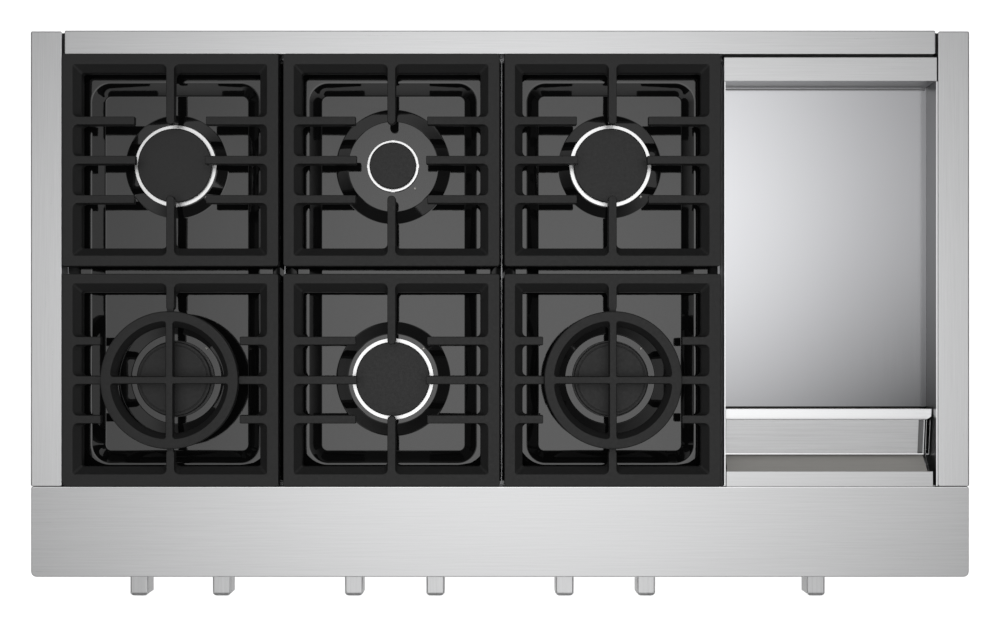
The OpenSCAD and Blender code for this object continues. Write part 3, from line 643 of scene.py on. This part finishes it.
# ------------------------------------------------------------------ burners
def build_burners():
    top = CAP_Z - 4.0
    mains = [(COLS[0], BY_REAR), (COLS[2], BY_REAR), (COLS[0], BY_FRONT), (COLS[1], BY_FRONT), (COLS[2], BY_FRONT)]
    bright, dark, simmer = Mesh(), Mesh(), Mesh()

    def head(m, cx, cy, r, ports, flange, nicks, up=0.0):
        """A turned ring with a wide rim; the gas leaves through slots cut in the wall under the cap."""
        z0 = SEAT_Z + 2.0 + up
        top = CAP_Z - 4.0 + up
        rim, w0 = r + flange, r - 1.4
        land = [(r - 12, z0), (rim - 0.5, z0), (rim, z0 + 0.5), (rim, z0 + 2.3), (rim - 0.2, z0 + 2.7), (rim - 0.6, z0 + 2.92),
                (min(r + 0.2, rim - 0.8), z0 + 3.0), (min(r - 0.4, rim - 1.0), z0 + 2.95), (w0, z0 + 2.8), (w0, top - 0.5), (w0 - 0.4, top - 0.1), (w0 - 1.0, top), (r - 12, top)]
        slot = [(a, min(b, z0 + 2.9)) if i >= 8 else (a, b) for i, (a, b) in enumerate(land)]
        nick = [(a, b) if i < 3 or i > 7 else (min(a, rim), min(b, z0 + 1.2)) for i, (a, b) in enumerate(land)]
        marks = []
        for k in range(ports):
            q = 2 * PI * (k + 0.5) / ports
            w = 1.2 / r
            marks += [(q - w - 0.003, land), (q - w, slot), (q + w, slot), (q + w + 0.003, land)]
        if nicks:
            wn = 2.1 / r
            marks = [mk for mk in marks if min(abs((mk[0] - k * PI / 2 + PI) % (2 * PI) - PI) for k in range(4)) > wn + 0.012]
            for k in range(4):
                q = k * PI / 2 + 0.0001
                marks += [(q - wn - 0.006, land), (q - wn, nick), (q + wn, nick), (q + wn + 0.006, land)]
        marks = sorted((a % (2 * PI), pr) for a, pr in marks)
        rings = []
        for i, (a, pr) in enumerate(marks):
            rings.append((a, pr))
            b = marks[(i + 1) % len(marks)][0] + (2 * PI if i + 1 == len(marks) else 0)
            if pr is land and b - a > 0.05:
                n = max(2, int((b - a) / 0.035))
                rings += [(a + (b - a) * j / n, land) for j in range(1, n)]
        ids = [m.pts([(cx + q[0] * math.cos(a), cy + q[0] * math.sin(a), q[1]) for q in pr]) for a, pr in rings]
        for i in range(len(ids)):
            m.band(ids[i], ids[(i + 1) % len(ids)])

    for cx, cy in mains:
        wok = cy < 0 and cx != COLS[1]
        head(dark if wok else bright, cx, cy, CAP_R, 30, -0.2 if wok else 5.3, not wok, 7.0 if wok else 0.0)
        if wok:
            lathe(dark, [(CAP_R - 9.0, SEAT_Z + 0.05), (CAP_R + 1.9, SEAT_Z + 0.05), (CAP_R + 1.9, SEAT_Z + 1.9), (CAP_R + 1.5, SEAT_Z + 2.3), (CAP_R - 1.6, SEAT_Z + 2.7), (CAP_R - 2.0, SEAT_Z + 3.2), (CAP_R - 2.0, SEAT_Z + 9.4), (CAP_R - 9.0, SEAT_Z + 9.4)], cx, cy, 96, close=True)
    head(simmer, COLS[1], BY_REAR, SIM_R, 18, 3.6, True)
    hb = make("main_burner_heads", bright, ALLOY, "chassis", ["burner_heads"], sharp=25, weld=False)
    make("wok_burner_heads", dark, DARKALLOY, "chassis", [], sharp=25, weld=False)
    make("simmer_burner_head", simmer, ALLOY, "chassis", ["simmer_head"], sharp=25, weld=False)

    def cap(m, cx, cy, r, step):
        up = 7.0 if step else 0.0
        z, top = CAP_Z + up, CAP_Z - 4.0 + up
        prof = [(0, top - 2.6), (r - 13, top - 2.6), (r - 13, top), (r - 1.2, top), (r - 0.5, top + 0.25), (r, top + 0.9), (r, top + 2.2)]
        prof += arc(r - 1.6, z - 1.75, 1.6, 0, 90, 5)[0:]
        if step:
            prof += [(r - 3.6, z - 0.1), (r - 4.1, z - 0.5), (r - 4.9, z - 0.5), (r - 5.4, z - 0.05)]
        prof += [(r * 0.75, z - 0.05), (r * 0.45, z), (0, z)]
        lathe(m, prof, cx, cy, 120)
    m = Mesh()
    for cx, cy in mains:
        wok = cy < 0 and cx != COLS[1]
        cap(m, cx, cy, CAP_R, wok)
    make("main_burner_caps", m, CAPMAT, "chassis", ["burner_caps"], sharp=35)
    m = Mesh()
    cap(m, COLS[1], BY_REAR, SIM_R, False)
    make("simmer_burner_cap", m, CAPMAT, "chassis", ["simmer_cap"], sharp=35)
    # igniters: glazed ceramic posts with a steel pin
    m, pin = Mesh(), Mesh()
    for cx, cy in mains + [(COLS[1], BY_REAR)]:
        r = SIM_R + 10.6 if (cx, cy) == (COLS[1], BY_REAR) else CAP_R + 8.2
        x, y = cx + r * math.cos(PI / 4), cy + (-1 if cy > 0 else 1) * r * math.sin(PI / 4)
        z = SEAT_Z
        lathe(m, [(0, z - 10), (1.6, z - 10), (1.6, z + 3.6), (1.35, z + 4.1), (0.9, z + 4.4), (0, z + 4.4)], x, y, 24)
        lathe(pin, [(0, z + 4.0), (0.55, z + 4.0), (0.55, z + 6.6), (0.3, z + 7.0), (0, z + 7.0)], x, y, 16)
    make("igniter_posts", m, CERAMIC, "chassis", ["igniters"])
    make("igniter_pins", pin, SCREW, "chassis", [])


# ------------------------------------------------------------------ grates
def window(w, d, a, b, tip, tip_v, fp, rt, rroot, round_tip, ex=(0.0, 0.0, 0.0)):
    """Inner outline of a grate: frame faces a inside the outer edge, fingers of half-width b."""
    XR, XL, YF, YB = w / 2 - a - ex[0], w / 2 - a, d / 2 - a - ex[1], d / 2 - a - ex[2]
    P = []
    r0 = 3.0
    # from the front right corner, counter-clockwise
    P += [(XR, -YF, r0)]
    for k in (-1, 0, 1):
        yc = k * fp
        tk = tip - (1.4 if k == 0 else 0.0)
        P += [(XR, yc - b, rroot), (tk, yc - b, rt), (tk, yc + b, rt), (XR, yc + b, rroot)]
    P += [(XR, YB, r0), (b, YB, rroot), (b, tip_v, round_tip), (-b, tip_v, round_tip), (-b, YB, rroot), (-XL, YB, r0)]
    for k in (1, 0, -1):
        yc = k * fp
        tk = tip - (1.4 if k == 0 else 0.0)
        P += [(-XL, yc + b, rroot), (-tk, yc + b, rt), (-tk, yc - b, rt), (-XL, yc - b, rroot)]
    P += [(-XL, -YF, r0), (-b, -YF, rroot), (-b, -tip_v, round_tip), (b, -tip_v, round_tip), (b, -YF, rroot)]
    return fil(P, 4)


def build_grate(name, tip, wok, big_corner=None):
    lo, hi = mmbox(name)
    cx, cy = (lo[0] + hi[0]) / 2, (lo[1] + hi[1]) / 2
    w, d, top = hi[0] - lo[0], hi[1] - lo[1], hi[2]
    m = Mesh()
    sh = lambda P: [(x + cx, y + cy) for x, y in P]
    rc = [3.5, 3.5, 3.5, 3.5]
    if big_corner is not None:
        rc[big_corner] = 8.0

    def outer(i):
        return sh(rr(-w / 2 + i, -d / 2 + i, w / 2 - i, d / 2 - i, [max(q - i, 0.4) for q in rc], 6))

    # levels from the top down: depth, edge inset, frame inset, finger half-width
    ex = (1.2, 1.9 if cy < 0 else 0.0, -1.2 if cy < 0 else 0.0)
    lv = [(0.0, 1.1, 14.0 - 0.9, 5.25 - 0.9), (0.12, 0.65, 14.0 - 0.5, 5.25 - 0.5), (0.4, 0.28, 14.1 - 0.2, 5.25 - 0.2),
          (0.95, 0.03, 14.4, 5.25), (5.0, 0.0, 18.4, 5.45), (9.2, 0.0, 22.6, 5.6), (9.8, 0.0, 23.2, 5.6), (10.6, 0.0, 23.6, 5.62)]
    ho, hn = [], []
    for dz, i, a, b in lv:
        t = tip + (5.25 - b) + dz * 0.05
        ho.append(m.loop(outer(i), top - dz))
        hn.append(m.loop(sh(window(w, d, a, b, t, tip + (5.25 - b) + dz * 0.05, 50.6, 1.2, 6.4, 4.9, ex)), top - dz))
    # fingers end lower at their roots than at their tips
    T = tip

    def low(x, y):
        u = max(abs(x - cx), abs(y - cy) * w / d)
        k = min(1.0, max(0.0, (w / 2 - 20 - u) / max(1.0, w / 2 - 20 - T)))
        return top - 17.0 + 5.5 * k
    ho.append(m.loop(outer(0.0), top - 17.0))
    dz, i, a, b = 13.0, 0.0, 23.8, 5.6
    t = tip + (5.25 - b) + 0.6
    hn.append(m.loop(sh(window(w, d, a, b, t, t, 50.6, 1.2, 6.4, 4.9, ex)), low))
    for L in (ho, hn):
        for a, b in zip(L, L[1:]):
            m.band(a, b)
    m.fill([ho[0], hn[0]])
    m.fill([ho[-1], hn[-1]])
    # deeper frame under the fingers
    zb = top - 24.0
    fo = [(0.25, top - 15.0), (0.25, zb + 1.0), (0.6, zb + 0.3), (1.3, zb)]
    fi = [(23.6, top - 15.0), (23.6, zb + 1.0), (23.2, zb + 0.3), (22.4, zb)]
    lo_ = [m.loop(outer(i), z) for i, z in fo]
    li_ = [m.loop(sh(rr(-w / 2 + a, -d / 2 + a, w / 2 - a, d / 2 - a, 3.0, 6)), z) for a, z in fi]
    for L in (lo_, li_):
        for a, b in zip(L, L[1:]):
            m.band(a, b)
    m.fill([lo_[0], li_[0]])
    m.fill([lo_[-1], li_[-1]])
    # feet
    for sx in (-1, 1):
        for sy in (-1, 1):
            lathe(m, [(0, PAN_Z + 0.05), (5.6, PAN_Z + 0.05), (6.6, PAN_Z + 0.5), (7.0, PAN_Z + 1.4), (8.6, zb - 0.4), (9.4, zb + 1.2), (9.4, zb + 3), (0, zb + 3)],
                  cx + sx * (w / 2 - 13), cy + sy * (d / 2 - 13), 32)
    make(name + "_casting", m, IRON, name, [name], sharp=38)


def build_wok_ring(name):
    lo, hi = mmbox(name)
    cx, cy, top = (lo[0] + hi[0]) / 2, (lo[1] + hi[1]) / 2, hi[2]
    ro = 88.6
    m = Mesh()
    sh = lambda P: [(x + cx, y + cy) for x, y in P]

    def quad(r, b, q, rf):
        """One window between two arms of the cross, of radius r, arms of half-width b."""
        s = math.sqrt(r * r - b * b)
        a0 = math.atan2(b, s)
        P = [(b, b, 1.4), (s, b, rf)]
        n = 14
        for k in range(1, n):
            a = a0 + (PI / 2 - 2 * a0) * k / n
            P.append((r * math.cos(a), r * math.sin(a), None))
        P.append((b, s, rf))
        P = fil(P, 5)
        ca, sa = math.cos(q * PI / 2), math.sin(q * PI / 2)
        return [(x * ca - y * sa, x * sa + y * ca) for x, y in P]

    lv = [(0.0, ro - 1.6, 75.6 + 1.2, 4.75 - 1.2), (0.25, ro - 0.8, 75.6 + 0.6, 4.75 - 0.6), (0.8, ro - 0.25, 75.6 + 0.15, 4.75 - 0.2),
          (1.6, ro, 75.4, 4.75), (8.0, ro, 70.9, 4.95), (11.0, ro, 69.2, 5.05), (13.0, ro - 0.3, 68.8, 5.05), (13.75, ro - 1.0, 69.4, 4.6)]
    outs, wins = [], [[] for _ in range(4)]
    for dz, r, ri, b in lv:
        outs.append(m.loop(sh(circ(0, 0, r, 128)), top - dz))
        for q in range(4):
            wins[q].append(m.loop(sh(quad(ri, b, q, 4.2)), top - dz))
    for L in [outs] + wins:
        for a, b in zip(L, L[1:]):
            m.band(a, b)
    m.fill([outs[0]] + [wq[0] for wq in wins])
    m.fill([outs[-1]] + [wq[-1] for wq in wins])
    # lugs that sit in the notches of the middle fingers
    z0 = lo[2]
    for q in range(4):
        ca, sa = round(math.cos(q * PI / 2)), round(math.sin(q * PI / 2))
        x0, x1 = ro - 3.0, (hi[0] - lo[0]) / 2
        c = [(x0 * ca - -4.4 * sa, x0 * sa + -4.4 * ca), (x1 * ca - 4.4 * sa, x1 * sa + 4.4 * ca)]
        xa, xb = sorted((c[0][0], c[1][0]))
        ya, yb = sorted((c[0][1], c[1][1]))
        rbox(m, (cx + xa, cy + ya, z0 + 0.1), (cx + xb, cy + yb, z0 + 5.9), 0.9, 1.2)
    body = name
    make(name + "_casting", m, IRON, body, [name], sharp=38)


# ------------------------------------------------------------------ griddle
def leaning(m, pts_bottom, pts_top, t):
    """A sheet wall from four corners: two at the bottom, two at the top, given thickness t along a direction."""
    (a, b), (d, c) = pts_bottom, pts_top
    off = Vector(t)
    q = [Vector(p) for p in (a, b, c, d)]
    i = m.pts([tuple(p) for p in q])
    j = m.pts([tuple(p + off) for p in q])
    m.face(i)
    m.face(j[::-1])
    m.band(i, j)


def build_griddle():
    x0, x1, y0, y1, zt, zb = G0[0], G1[0], G0[1], G1[1], G1[2], G0[2]
    t = 1.5
    gb = 305.7
    pz = P1[2]
    # side walls stand a little inwards at the foot, where they are welded to the plate
    m = Mesh()
    for s, xo in ((1, x0), (-1, x1)):
        prof = [(xo, zb), (xo + s * t, zb), (xo + s * t, pz - 11.0), (xo + s * (t + 2.6), pz + 0.6), (xo + s * (t + 2.4), pz + 1.6),
                (xo + s * (t + 0.2), zt - 5.0), (xo + s * t, zt - 0.5), (xo + s * (t - 0.35), zt), (xo + s * 0.35, zt), (xo, zt - 0.4)]
        prism_y(m, prof, y0 + 1.6, gb - 0.03)
    make("griddle_side_walls", m, WALL, "chassis", ["griddle_surround"], bevel=0.3)
    m = Mesh()
    # front wall with a narrow lip turned towards the landing ledge
    prism_x(m, [(y0, zb), (y0 + t, zb), (y0 + t, 189.5), (y0, 189.5)], x0 + 0.02, x1 - 0.02)
    # floor under the grease tray, the stop behind it, and the ledges that carry the plate
    rbox(m, (x0 + t, y0 + t, zb), (x1 - t, P0[1] + 3, zb + t), 0.3)
    rbox(m, (x0 + t, P0[1] + 1.5, zb + t), (x1 - t, P0[1] + 3, P0[2] - 1), 0.3)
    for a, b in ((x0 + t, x0 + 14), (x1 - 14, x1 - t)):
        rbox(m, (a, P0[1] + 20, P0[2] - t), (b, gb, P0[2]), 0.3)
    make("griddle_well_sheet", m, STEEL_X, "chassis", [], bevel=0.3)
    m = Mesh()
    # rear shelf: flat top, rounded front edge, the flange behind turned down
    pr = [(gb + 0.2, zt - 6.0), (gb, zt - 1.2)] + [(gb + 1.0 - 1.0 * math.cos(a * PI / 12), zt - 0.9 + 0.9 * math.sin(a * PI / 12)) for a in range(1, 6)]
    pr += [(gb + 1.0, zt), (y1 - 0.9, zt)]
    pr += [(y1 - 0.9 + 0.9 * math.sin(a * PI / 12), zt - 0.8 + 0.8 * math.cos(a * PI / 12)) for a in range(1, 6)]
    pr += [(y1, zt - 0.8), (y1, 170.5), (y1 - t, 170.5), (y1 - t, zt - t - 0.4), (gb + 2.4, zt - t - 0.4), (gb + 2.0, zt - 6.0)]
    prism_x(m, pr, x0 + 0.02, x1 - 0.9)
    make("griddle_rear_shelf", m, STEEL_R, "chassis", [], bevel=0.2)
    m = Mesh()
    # splash wall under the shelf leans forwards at its foot; its right end is mitred short of the side wall
    leaning(m, ((x0 + 4.6, gb - 2.4, pz + 0.6), (x1 - 4.6, gb - 2.4, pz + 0.6)), ((x0 + 1.9, gb + 0.3, zt - 3.0), (x1 - 1.9, gb + 0.3, zt - 3.0)), (0, 1.5, 0))
    make("griddle_splash_wall", m, WALLX, "chassis", [])
    # plate: ground top, bevelled edges; the front one pours into the tray
    m = Mesh()

    def plan(i, f=0.0, b=0.0):
        return rr(P0[0] + i, P0[1] + i + f, P1[0] - i, P1[1] - i - b, [1.5, 1.5, 2.0, 2.0], 6)
    lv = [(0.6, 0, 0, P0[2]), (0.0, 0, 0, P0[2] + 0.6), (0.0, 0, 0, pz - 1.3), (0.15, 0.0, 0.0, pz - 0.75), (0.45, 0.1, 0.1, pz - 0.32),
          (0.85, 0.2, 0.2, pz - 0.08), (1.4, 0.5, 0.3, pz)]
    L = [m.loop(plan(i, f, b), z) for i, f, b, z in lv]
    for a, b in zip(L, L[1:]):
        m.band(a, b)
    m.face(L[0][::-1])
    m.face(L[-1])
    make("griddle_plate_ground", m, GRIDDLE, "chassis", ["griddle_plate"], sharp=30)

    # grease tray: front rim, wall leaning back under the guard, floor, and low rear wall
    m = Mesh()
    tx0, tx1 = T0[0], T1[0]
    ty0, ty1 = T0[1], T1[1]
    z0, zr = T0[2], T1[2]
    s = 1.2
    f = ty0 + 18.6
    prof = [(ty0, zr - 6.5), (ty0 + s, zr - 6.5), (ty0 + s, zr - s - 0.4), (f - 0.4, zr - s - 0.2), (f - 0.1, zr - s - 1.0), (f + 19.6, 171.0), (f + 20.4, 169.0), (f + 20.6, z0 + 1.6), (f + 22.2, z0), (ty1 - 2.0, z0), (ty1 - 0.6, z0 + 0.6),
            (ty1, z0 + 2.0), (ty1, pz - 4.5), (ty1 - s, pz - 4.5), (ty1 - s, z0 + 2.3), (ty1 - 2.3, z0 + s), (f + 22.8, z0 + s), (f + 21.8, z0 + 2.2), (f + 21.6, 169.4), (f + 20.8, 171.7), (f + 1.5, zr - 1.0), (f + 1.0, zr - 0.3), (f + 0.2, zr),
            (ty0 + 1.2, zr), (ty0 + 0.35, zr - 0.25), (ty0, zr - 1.0)]
    prism_x(m, prof, tx0, tx1 - 5.0)
    make("grease_tray_sheet", m, TRAYWALL, "grease_tray", ["grease_tray"], bevel=0.2)
    m = Mesh()
    # rim cover: the strip that shows in front, in the case's own finish, with folded edges
    rim = G1[0] - 5.4
    pc = [(ty0 - 1.5, zr - 3.0), (ty0 - 1.5, zr - 0.9), (ty0 - 1.2, zr - 0.2), (ty0 - 0.5, zr + 0.22), (ty0 + 0.4, zr + 0.28), (f - 0.2, zr + 0.28), (f + 0.7, zr - 0.1), (f + 1.0, zr - 0.9),
          (f + 0.5, zr - 0.9), (f - 0.4, zr - 0.1), (ty0 + 0.4, zr - 0.1), (ty0 - 0.4, zr - 0.4), (ty0 - 0.7, zr - 1.0), (ty0 - 0.7, zr - 3.0)]
    prism_x(m, pc, tx0 - 0.4, rim)
    make("grease_tray_rim", m, STEEL_X, "grease_tray", [], bevel=0.15)
    m = Mesh()
    xs = T1[0] - 13.1
    xi = xs + 6.5
    # end walls: the left one plain, the right one a doubled sheet with two rolled upper edges and an outer flange
    cheek = [(f + 21.2, z0 + 0.6), (ty1 - 0.6, z0 + 0.6), (ty1 - 0.6, 166.0), (-133.6, 183.9), (-177.0, 177.0), (f + 0.9, zr - 1.3), (f + 0.9, zr - 3.0), (f + 21.2, 170.0)]
    prism_x(m, cheek, tx0 + 0.02, tx0 + s - 0.02)
    prism_x(m, cheek, xi + 3.5, xi + 4.3)
    inner = [(f + 23.6, z0 + 1.2), (-128.0, z0 + 1.2), (-128.0, 178.0), (-133.6, 184.7), (-178.6, 177.7)]
    prism_x(m, inner, xi, xi + 1.7)
    outer_ = [(-176.0, 152.0), (-128.0, 152.0), (-128.0, 178.0), (-133.6, 184.7), (-178.6, 177.7)]
    prism_x(m, outer_, xi + 8.1, xi + 8.8)
    # the end walls are made in the brighter, glossier steel: painted highlight
    make("grease_tray_cheeks", m, HIGHLIGHT_STEEL, "grease_tray", [], bevel=0.25)
    m = Mesh()
    g = [(-133.4, 184.95), (-178.0, 177.95), (-177.8, 176.55), (-132.6, 183.65)]
    prism_x(m, g, U0[0], xs)
    make("tray_guard_slope", m, TRAY_X, "grease_tray", ["tray_guard"], bevel=0.2)
    m = Mesh()
    # offset joint of the guard beside its rolled end, and the steep strip that joins the end sheets, in a darker steel:
    # painted shade
    prism_y(m, [(xi + 1.0, 150.0), (xi + 1.8, 149.6), (xi + 8.4, 166.4), (xi + 7.8, 166.8)], -174.0, -131.0)
    prism_x(m, [(-133.4, 179.6), (-177.6, 172.6), (-177.4, 171.2), (-132.6, 178.3)], xs - 1.0, xi + 0.4)
    make("tray_guard_end", m, SHADE_STEEL, "grease_tray", [], bevel=0.2)
    m = Mesh()
    # turned lip along the top, its right corner cut off at an angle, and the hem along the bottom
    ly = P0[1] - 0.7
    le = G1[0] - 3.6

    def lip(x, cut):
        return m.pts([(x, ly, 184.7), (x, ly, 185.6), (x, ly - 0.8, 186.0), (x - 0.6 * cut, -129.0, 186.0), (x - 5.0 * cut, -131.8, 186.0), (x - 7.0 * cut, -133.0, 185.5),
                      (x - 7.6 * cut, -133.6, 184.6), (x - 6.0 * cut, -132.4, 184.2), (x - 0.5 * cut, ly - 2, 184.7)])
    a, b = lip(U0[0] - 0.6, 0.0), lip(le, 1.0)
    m.band(a, b)
    m.fill([a], drop=0)
    m.fill([b], drop=0)
    # the lip is made in the near-white copy of the stainless: painted highlight
    make("tray_guard_lip", m, HIGHLIGHT_LIP, "grease_tray", [], bevel=0.15)
    # the hem along the guard's lower edge, in the brighter, glossier steel: painted highlight
    m = Mesh()
    rbox(m, (U0[0], -178.9, 176.6), (xi + 1.8, -177.2, 178.15), 0.25)
    rbox(m, (xi + 3.4, -178.9, 176.4), (xi + 8.8, -177.9, 177.8), 0.25)
    make("tray_guard_hem", m, HIGHLIGHT_STEEL, "grease_tray", [])
    m = Mesh()
    # brighter, glossier strips along the upper edges of both side walls: painted highlight
    rbox(m, (x0 + 0.02, y0 + 1.0, zt - 1.2), (x0 + 1.72, gb - 0.05, zt + 0.02), 0.25)
    rbox(m, (x1 - 1.62, y0 + 1.0, zt - 1.2), (x1 + 0.5, gb - 0.05, zt + 0.02), 0.25)
    # a dark steel strip on the plate along the foot of the splash wall: painted shade
    e = Mesh()
    rbox(e, (x0 + 4.8, gb - 5.6, pz - 0.3), (x1 - 6.0, gb - 3.3, pz + 0.25), 0.1)
    make("griddle_splash_foot_shade", e, SHADE_STEEL, "chassis", [])
    make("griddle_wall_edge", m, HIGHLIGHT_STEEL, "chassis", [])


# ------------------------------------------------------------------ knobs
def build_knobs():
    bez = Mesh()
    for i in range(1, 8):
        lo, hi = mmbox("knob_%d" % i)
        cx, cz = (lo[0] + hi[0]) / 2, (lo[2] + hi[2]) / 2
        tip, back = lo[1], hi[1]
        m = Mesh()
        R = (hi[0] - lo[0]) / 2
        sk = [(0, back), (R - 0.8, back), (R - 0.2, back - 0.25), (R, back - 0.9), (R, back - 3.6)]
        sk += [(R - 0.35, back - 4.9), (R - 1.3, back - 5.9), (R - 2.8, back - 6.5), (R * 0.6, back - 6.8), (0, back - 6.9)]
        lathe(m, sk, cx, 0, 96, axis="y", cz=cz)
        # grip bar: tall rounded section, crowned end, lower edge set back
        hw, hh = 11.9, 20.0
        st = [(back - 5.8, 0.0, 2.0), (back - 12.0, -0.0, 2.0), (tip + 6.0, 0.0, 2.2), (tip + 3.4, 0.25, 2.2), (tip + 2.0, 0.9, 2.4), (tip + 1.0, 2.0, 2.4), (tip + 0.35, 3.6, 2.2), (tip, 6.2, 1.6)]
        rings = []
        for y, ins, rad in st:
            P = rr(-hw + ins, -hh + ins, hw - ins, hh - ins, rad, 6)
            k = max(0.0, min(1.0, (back - 12.0 - y) / (back - 12.0 - tip)))
            rings.append(m.pts([(cx + x, y + k * (0.006 * x * x + 0.28 * max(0.0, -z - 6.0)), cz + z) for x, z in P]))
        for a, b in zip(rings, rings[1:]):
            m.band(a, b)
        m.face(rings[0][::-1])
        m.face(rings[-1])
        # ground flats let into both sides of the grip
        e = Mesh()
        for q in (-1, 1):
            xa, xb = sorted((cx + q * (hw - 0.3), cx + q * (hw + 0.3)))
            rbox(e, (xa, tip + 4.2, cz - 17.6), (xb, back - 6.4, cz + 17.9), 0.12)
        make("knob_%d_flats" % i, e, FLAT, "control_%d" % i, [])
        make("knob_%d_turned" % i, m, KNOB, "control_%d" % i, ["knob_%d" % i], sharp=42)
        y = -322.0
        lathe(bez, [(9, y), (33, y), (33, y - 0.5), (32.7, y - 0.95), (32.0, y - 1.3), (31.0, y - 1.5), (30.2, y - 1.2), (29.4, y - 1.2), (28.6, y - 1.5), (9, y - 1.5)],
              cx, 0, 96, axis="y", close=True, cz=cz)
    make("knob_bezel_rings", bez, KNOB, "chassis", ["knob_bezels"], sharp=30)


# ------------------------------------------------------------------ CAD pieces that stay
def dress(node, mat, bevel=None):
    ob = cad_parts[node]
    ob = ob if isinstance(ob, bpy.types.Object) else bpy.data.objects[node]
    ob.data.materials.clear()
    ob.data.materials.append(mat)
    if bevel:
        b = ob.modifiers.new("edges", "BEVEL")
        b.width = bevel * MM
        b.segments = 2
        b.limit_method = "ANGLE"
        b.angle_limit = math.radians(50)


def build_rest():
    for n in ("base_pan", "left_side_panel", "right_side_panel", "back_panel", "front_bulkhead", "support_rails"):
        dress(n, GALV)
    for n in ("gas_manifold", "valve_bodies", "gas_regulator"):
        dress(n, BRASS)
    for i in range(1, 8):
        dress("stem_%d" % i, BRASS)
        dress("plug_%d" % i, BRASS)
    for n in ("supply_tubes", "griddle_burner"):
        dress(n, TUBE)
    dress("burner_bases", ALLOY)
    dress("spark_module", PLASTIC)
    dress("case_screws", SCREW)


# ------------------------------------------------------------------ stage, light, camera
def build_stage():
    me = bpy.data.meshes.new("studio_floor")
    s = 14.0
    me.from_pydata([(-s, -s, -0.0004), (s, -s, -0.0004), (s, s, -0.0004), (-s, s, -0.0004)], [], [(0, 1, 2, 3)])
    fl = bpy.data.objects.new("studio_floor", me)
    bpy.context.scene.collection.objects.link(fl)
    k = Mat("pale_floor")
    a = k.noise(3.0, 2.0, 0.5)
    k.link(k.ramp(a, [(0.3, (0.90, 0.90, 0.90, 1)), (0.7, (0.93, 0.93, 0.93, 1))]), k.b.inputs["Base Color"])
    k.set(Roughness=0.9)
    k.b.inputs["Specular IOR Level"].default_value = 0.1
    k.b.inputs["Emission Color"].default_value = (1, 1, 1, 1)
    k.b.inputs["Emission Strength"].default_value = 0.82
    me.materials.append(k.m)

    w = bpy.data.worlds.new("studio")
    bpy.context.scene.world = w
    w.use_nodes = True
    t = w.node_tree
    t.nodes.clear()
    out = t.nodes.new("ShaderNodeOutputWorld")
    bg = t.nodes.new("ShaderNodeBackground")
    tc = t.nodes.new("ShaderNodeTexCoord")
    sp = t.nodes.new("ShaderNodeSeparateXYZ")
    cr = t.nodes.new("ShaderNodeValToRGB")
    cr.color_ramp.interpolation = "EASE"
    for k, (q, v) in enumerate(((0.0, 0.03), (0.34, 0.03), (0.46, 0.5), (0.62, 0.5), (0.74, 0.05), (1.0, 0.06))):
        el = cr.color_ramp.elements[k] if k < 2 else cr.color_ramp.elements.new(q)
        el.position = q
        el.color = (v, v, v, 1)
    t.links.new(tc.outputs["Generated"], sp.inputs[0])
    t.links.new(sp.outputs[2], cr.inputs[0])
    t.links.new(cr.outputs[0], bg.inputs["Strength"])
    bg.inputs["Color"].default_value = (1, 1, 1, 1)
    t.links.new(bg.outputs[0], out.inputs[0])

    li = bpy.data.lights.new("overhead_softbox", "AREA")
    li.shape = "RECTANGLE"
    li.size, li.size_y = 3.7, 3.6
    li.energy = 1.0
    li.use_nodes = True
    t = li.node_tree
    t.nodes.clear()
    out = t.nodes.new("ShaderNodeOutputLight")
    em = t.nodes.new("ShaderNodeEmission")
    geo = t.nodes.new("ShaderNodeNewGeometry")
    sp = t.nodes.new("ShaderNodeSeparateXYZ")
    t.links.new(geo.outputs["Parametric"], sp.inputs[0])
    prev = None
    for ch in (0, 1):
        a = t.nodes.new("ShaderNodeMath")
        a.operation = "SUBTRACT"
        a.inputs[1].default_value = 0.5
        t.links.new(sp.outputs[ch], a.inputs[0])
        b = t.nodes.new("ShaderNodeMath")
        b.operation = "ABSOLUTE"
        t.links.new(a.outputs[0], b.inputs[0])
        c = t.nodes.new("ShaderNodeMapRange")
        c.interpolation_type = "SMOOTHSTEP"
        for kk, v in zip(("From Min", "From Max", "To Min", "To Max"), (0.07, 0.38, 1.0, 0.56)):
            c.inputs[kk].default_value = v
        t.links.new(b.outputs[0], c.inputs["Value"])
        if prev is None:
            prev = c.outputs["Result"]
        else:
            mlt = t.nodes.new("ShaderNodeMath")
            mlt.operation = "MULTIPLY"
            t.links.new(prev, mlt.inputs[0])
            t.links.new(c.outputs["Result"], mlt.inputs[1])
            prev = mlt.outputs[0]
    t.links.new(prev, em.inputs["Strength"])
    t.links.new(em.outputs[0], out.inputs[0])
    li.energy = LIGHT_W
    ob = bpy.data.objects.new("overhead_softbox", li)
    ob.location = (0.06, 0.0, 3.25)
    ob.visible_camera = False
    bpy.context.scene.collection.objects.link(ob)

    cam = bpy.data.cameras.new("studio_camera")
    cam.sensor_width = 36.0
    cam.lens = 59.82
    cam.shift_x, cam.shift_y = 0.02, 0.055
    cam.clip_start, cam.clip_end = 0.05, 60.0
    co = bpy.data.objects.new("studio_camera", cam)
    co.location = (-0.0259, -0.0657, 2.352)
    co.rotation_euler = (0, 0, 0)
    bpy.context.scene.collection.objects.link(co)
    bpy.context.scene.camera = co
    bpy.context.scene.view_settings.view_transform = "Standard"
    bpy.context.scene.view_settings.look = "None"


LIGHT_W = 65.0

build_control_panel()
build_trims()
build_pans()
build_burners()
for g, wok, corner in (("rear_left", False, None), ("rear_middle", False, None), ("rear_right", False, None),
                       ("front_left", True, 0), ("front_middle", False, None), ("front_right", True, None)):
    build_grate("grate_" + g, 89.5 if wok else 46.0, wok, corner)
build_wok_ring("wok_ring_left")
build_wok_ring("wok_ring_right")
build_griddle()
build_knobs()
build_rest()
build_stage()
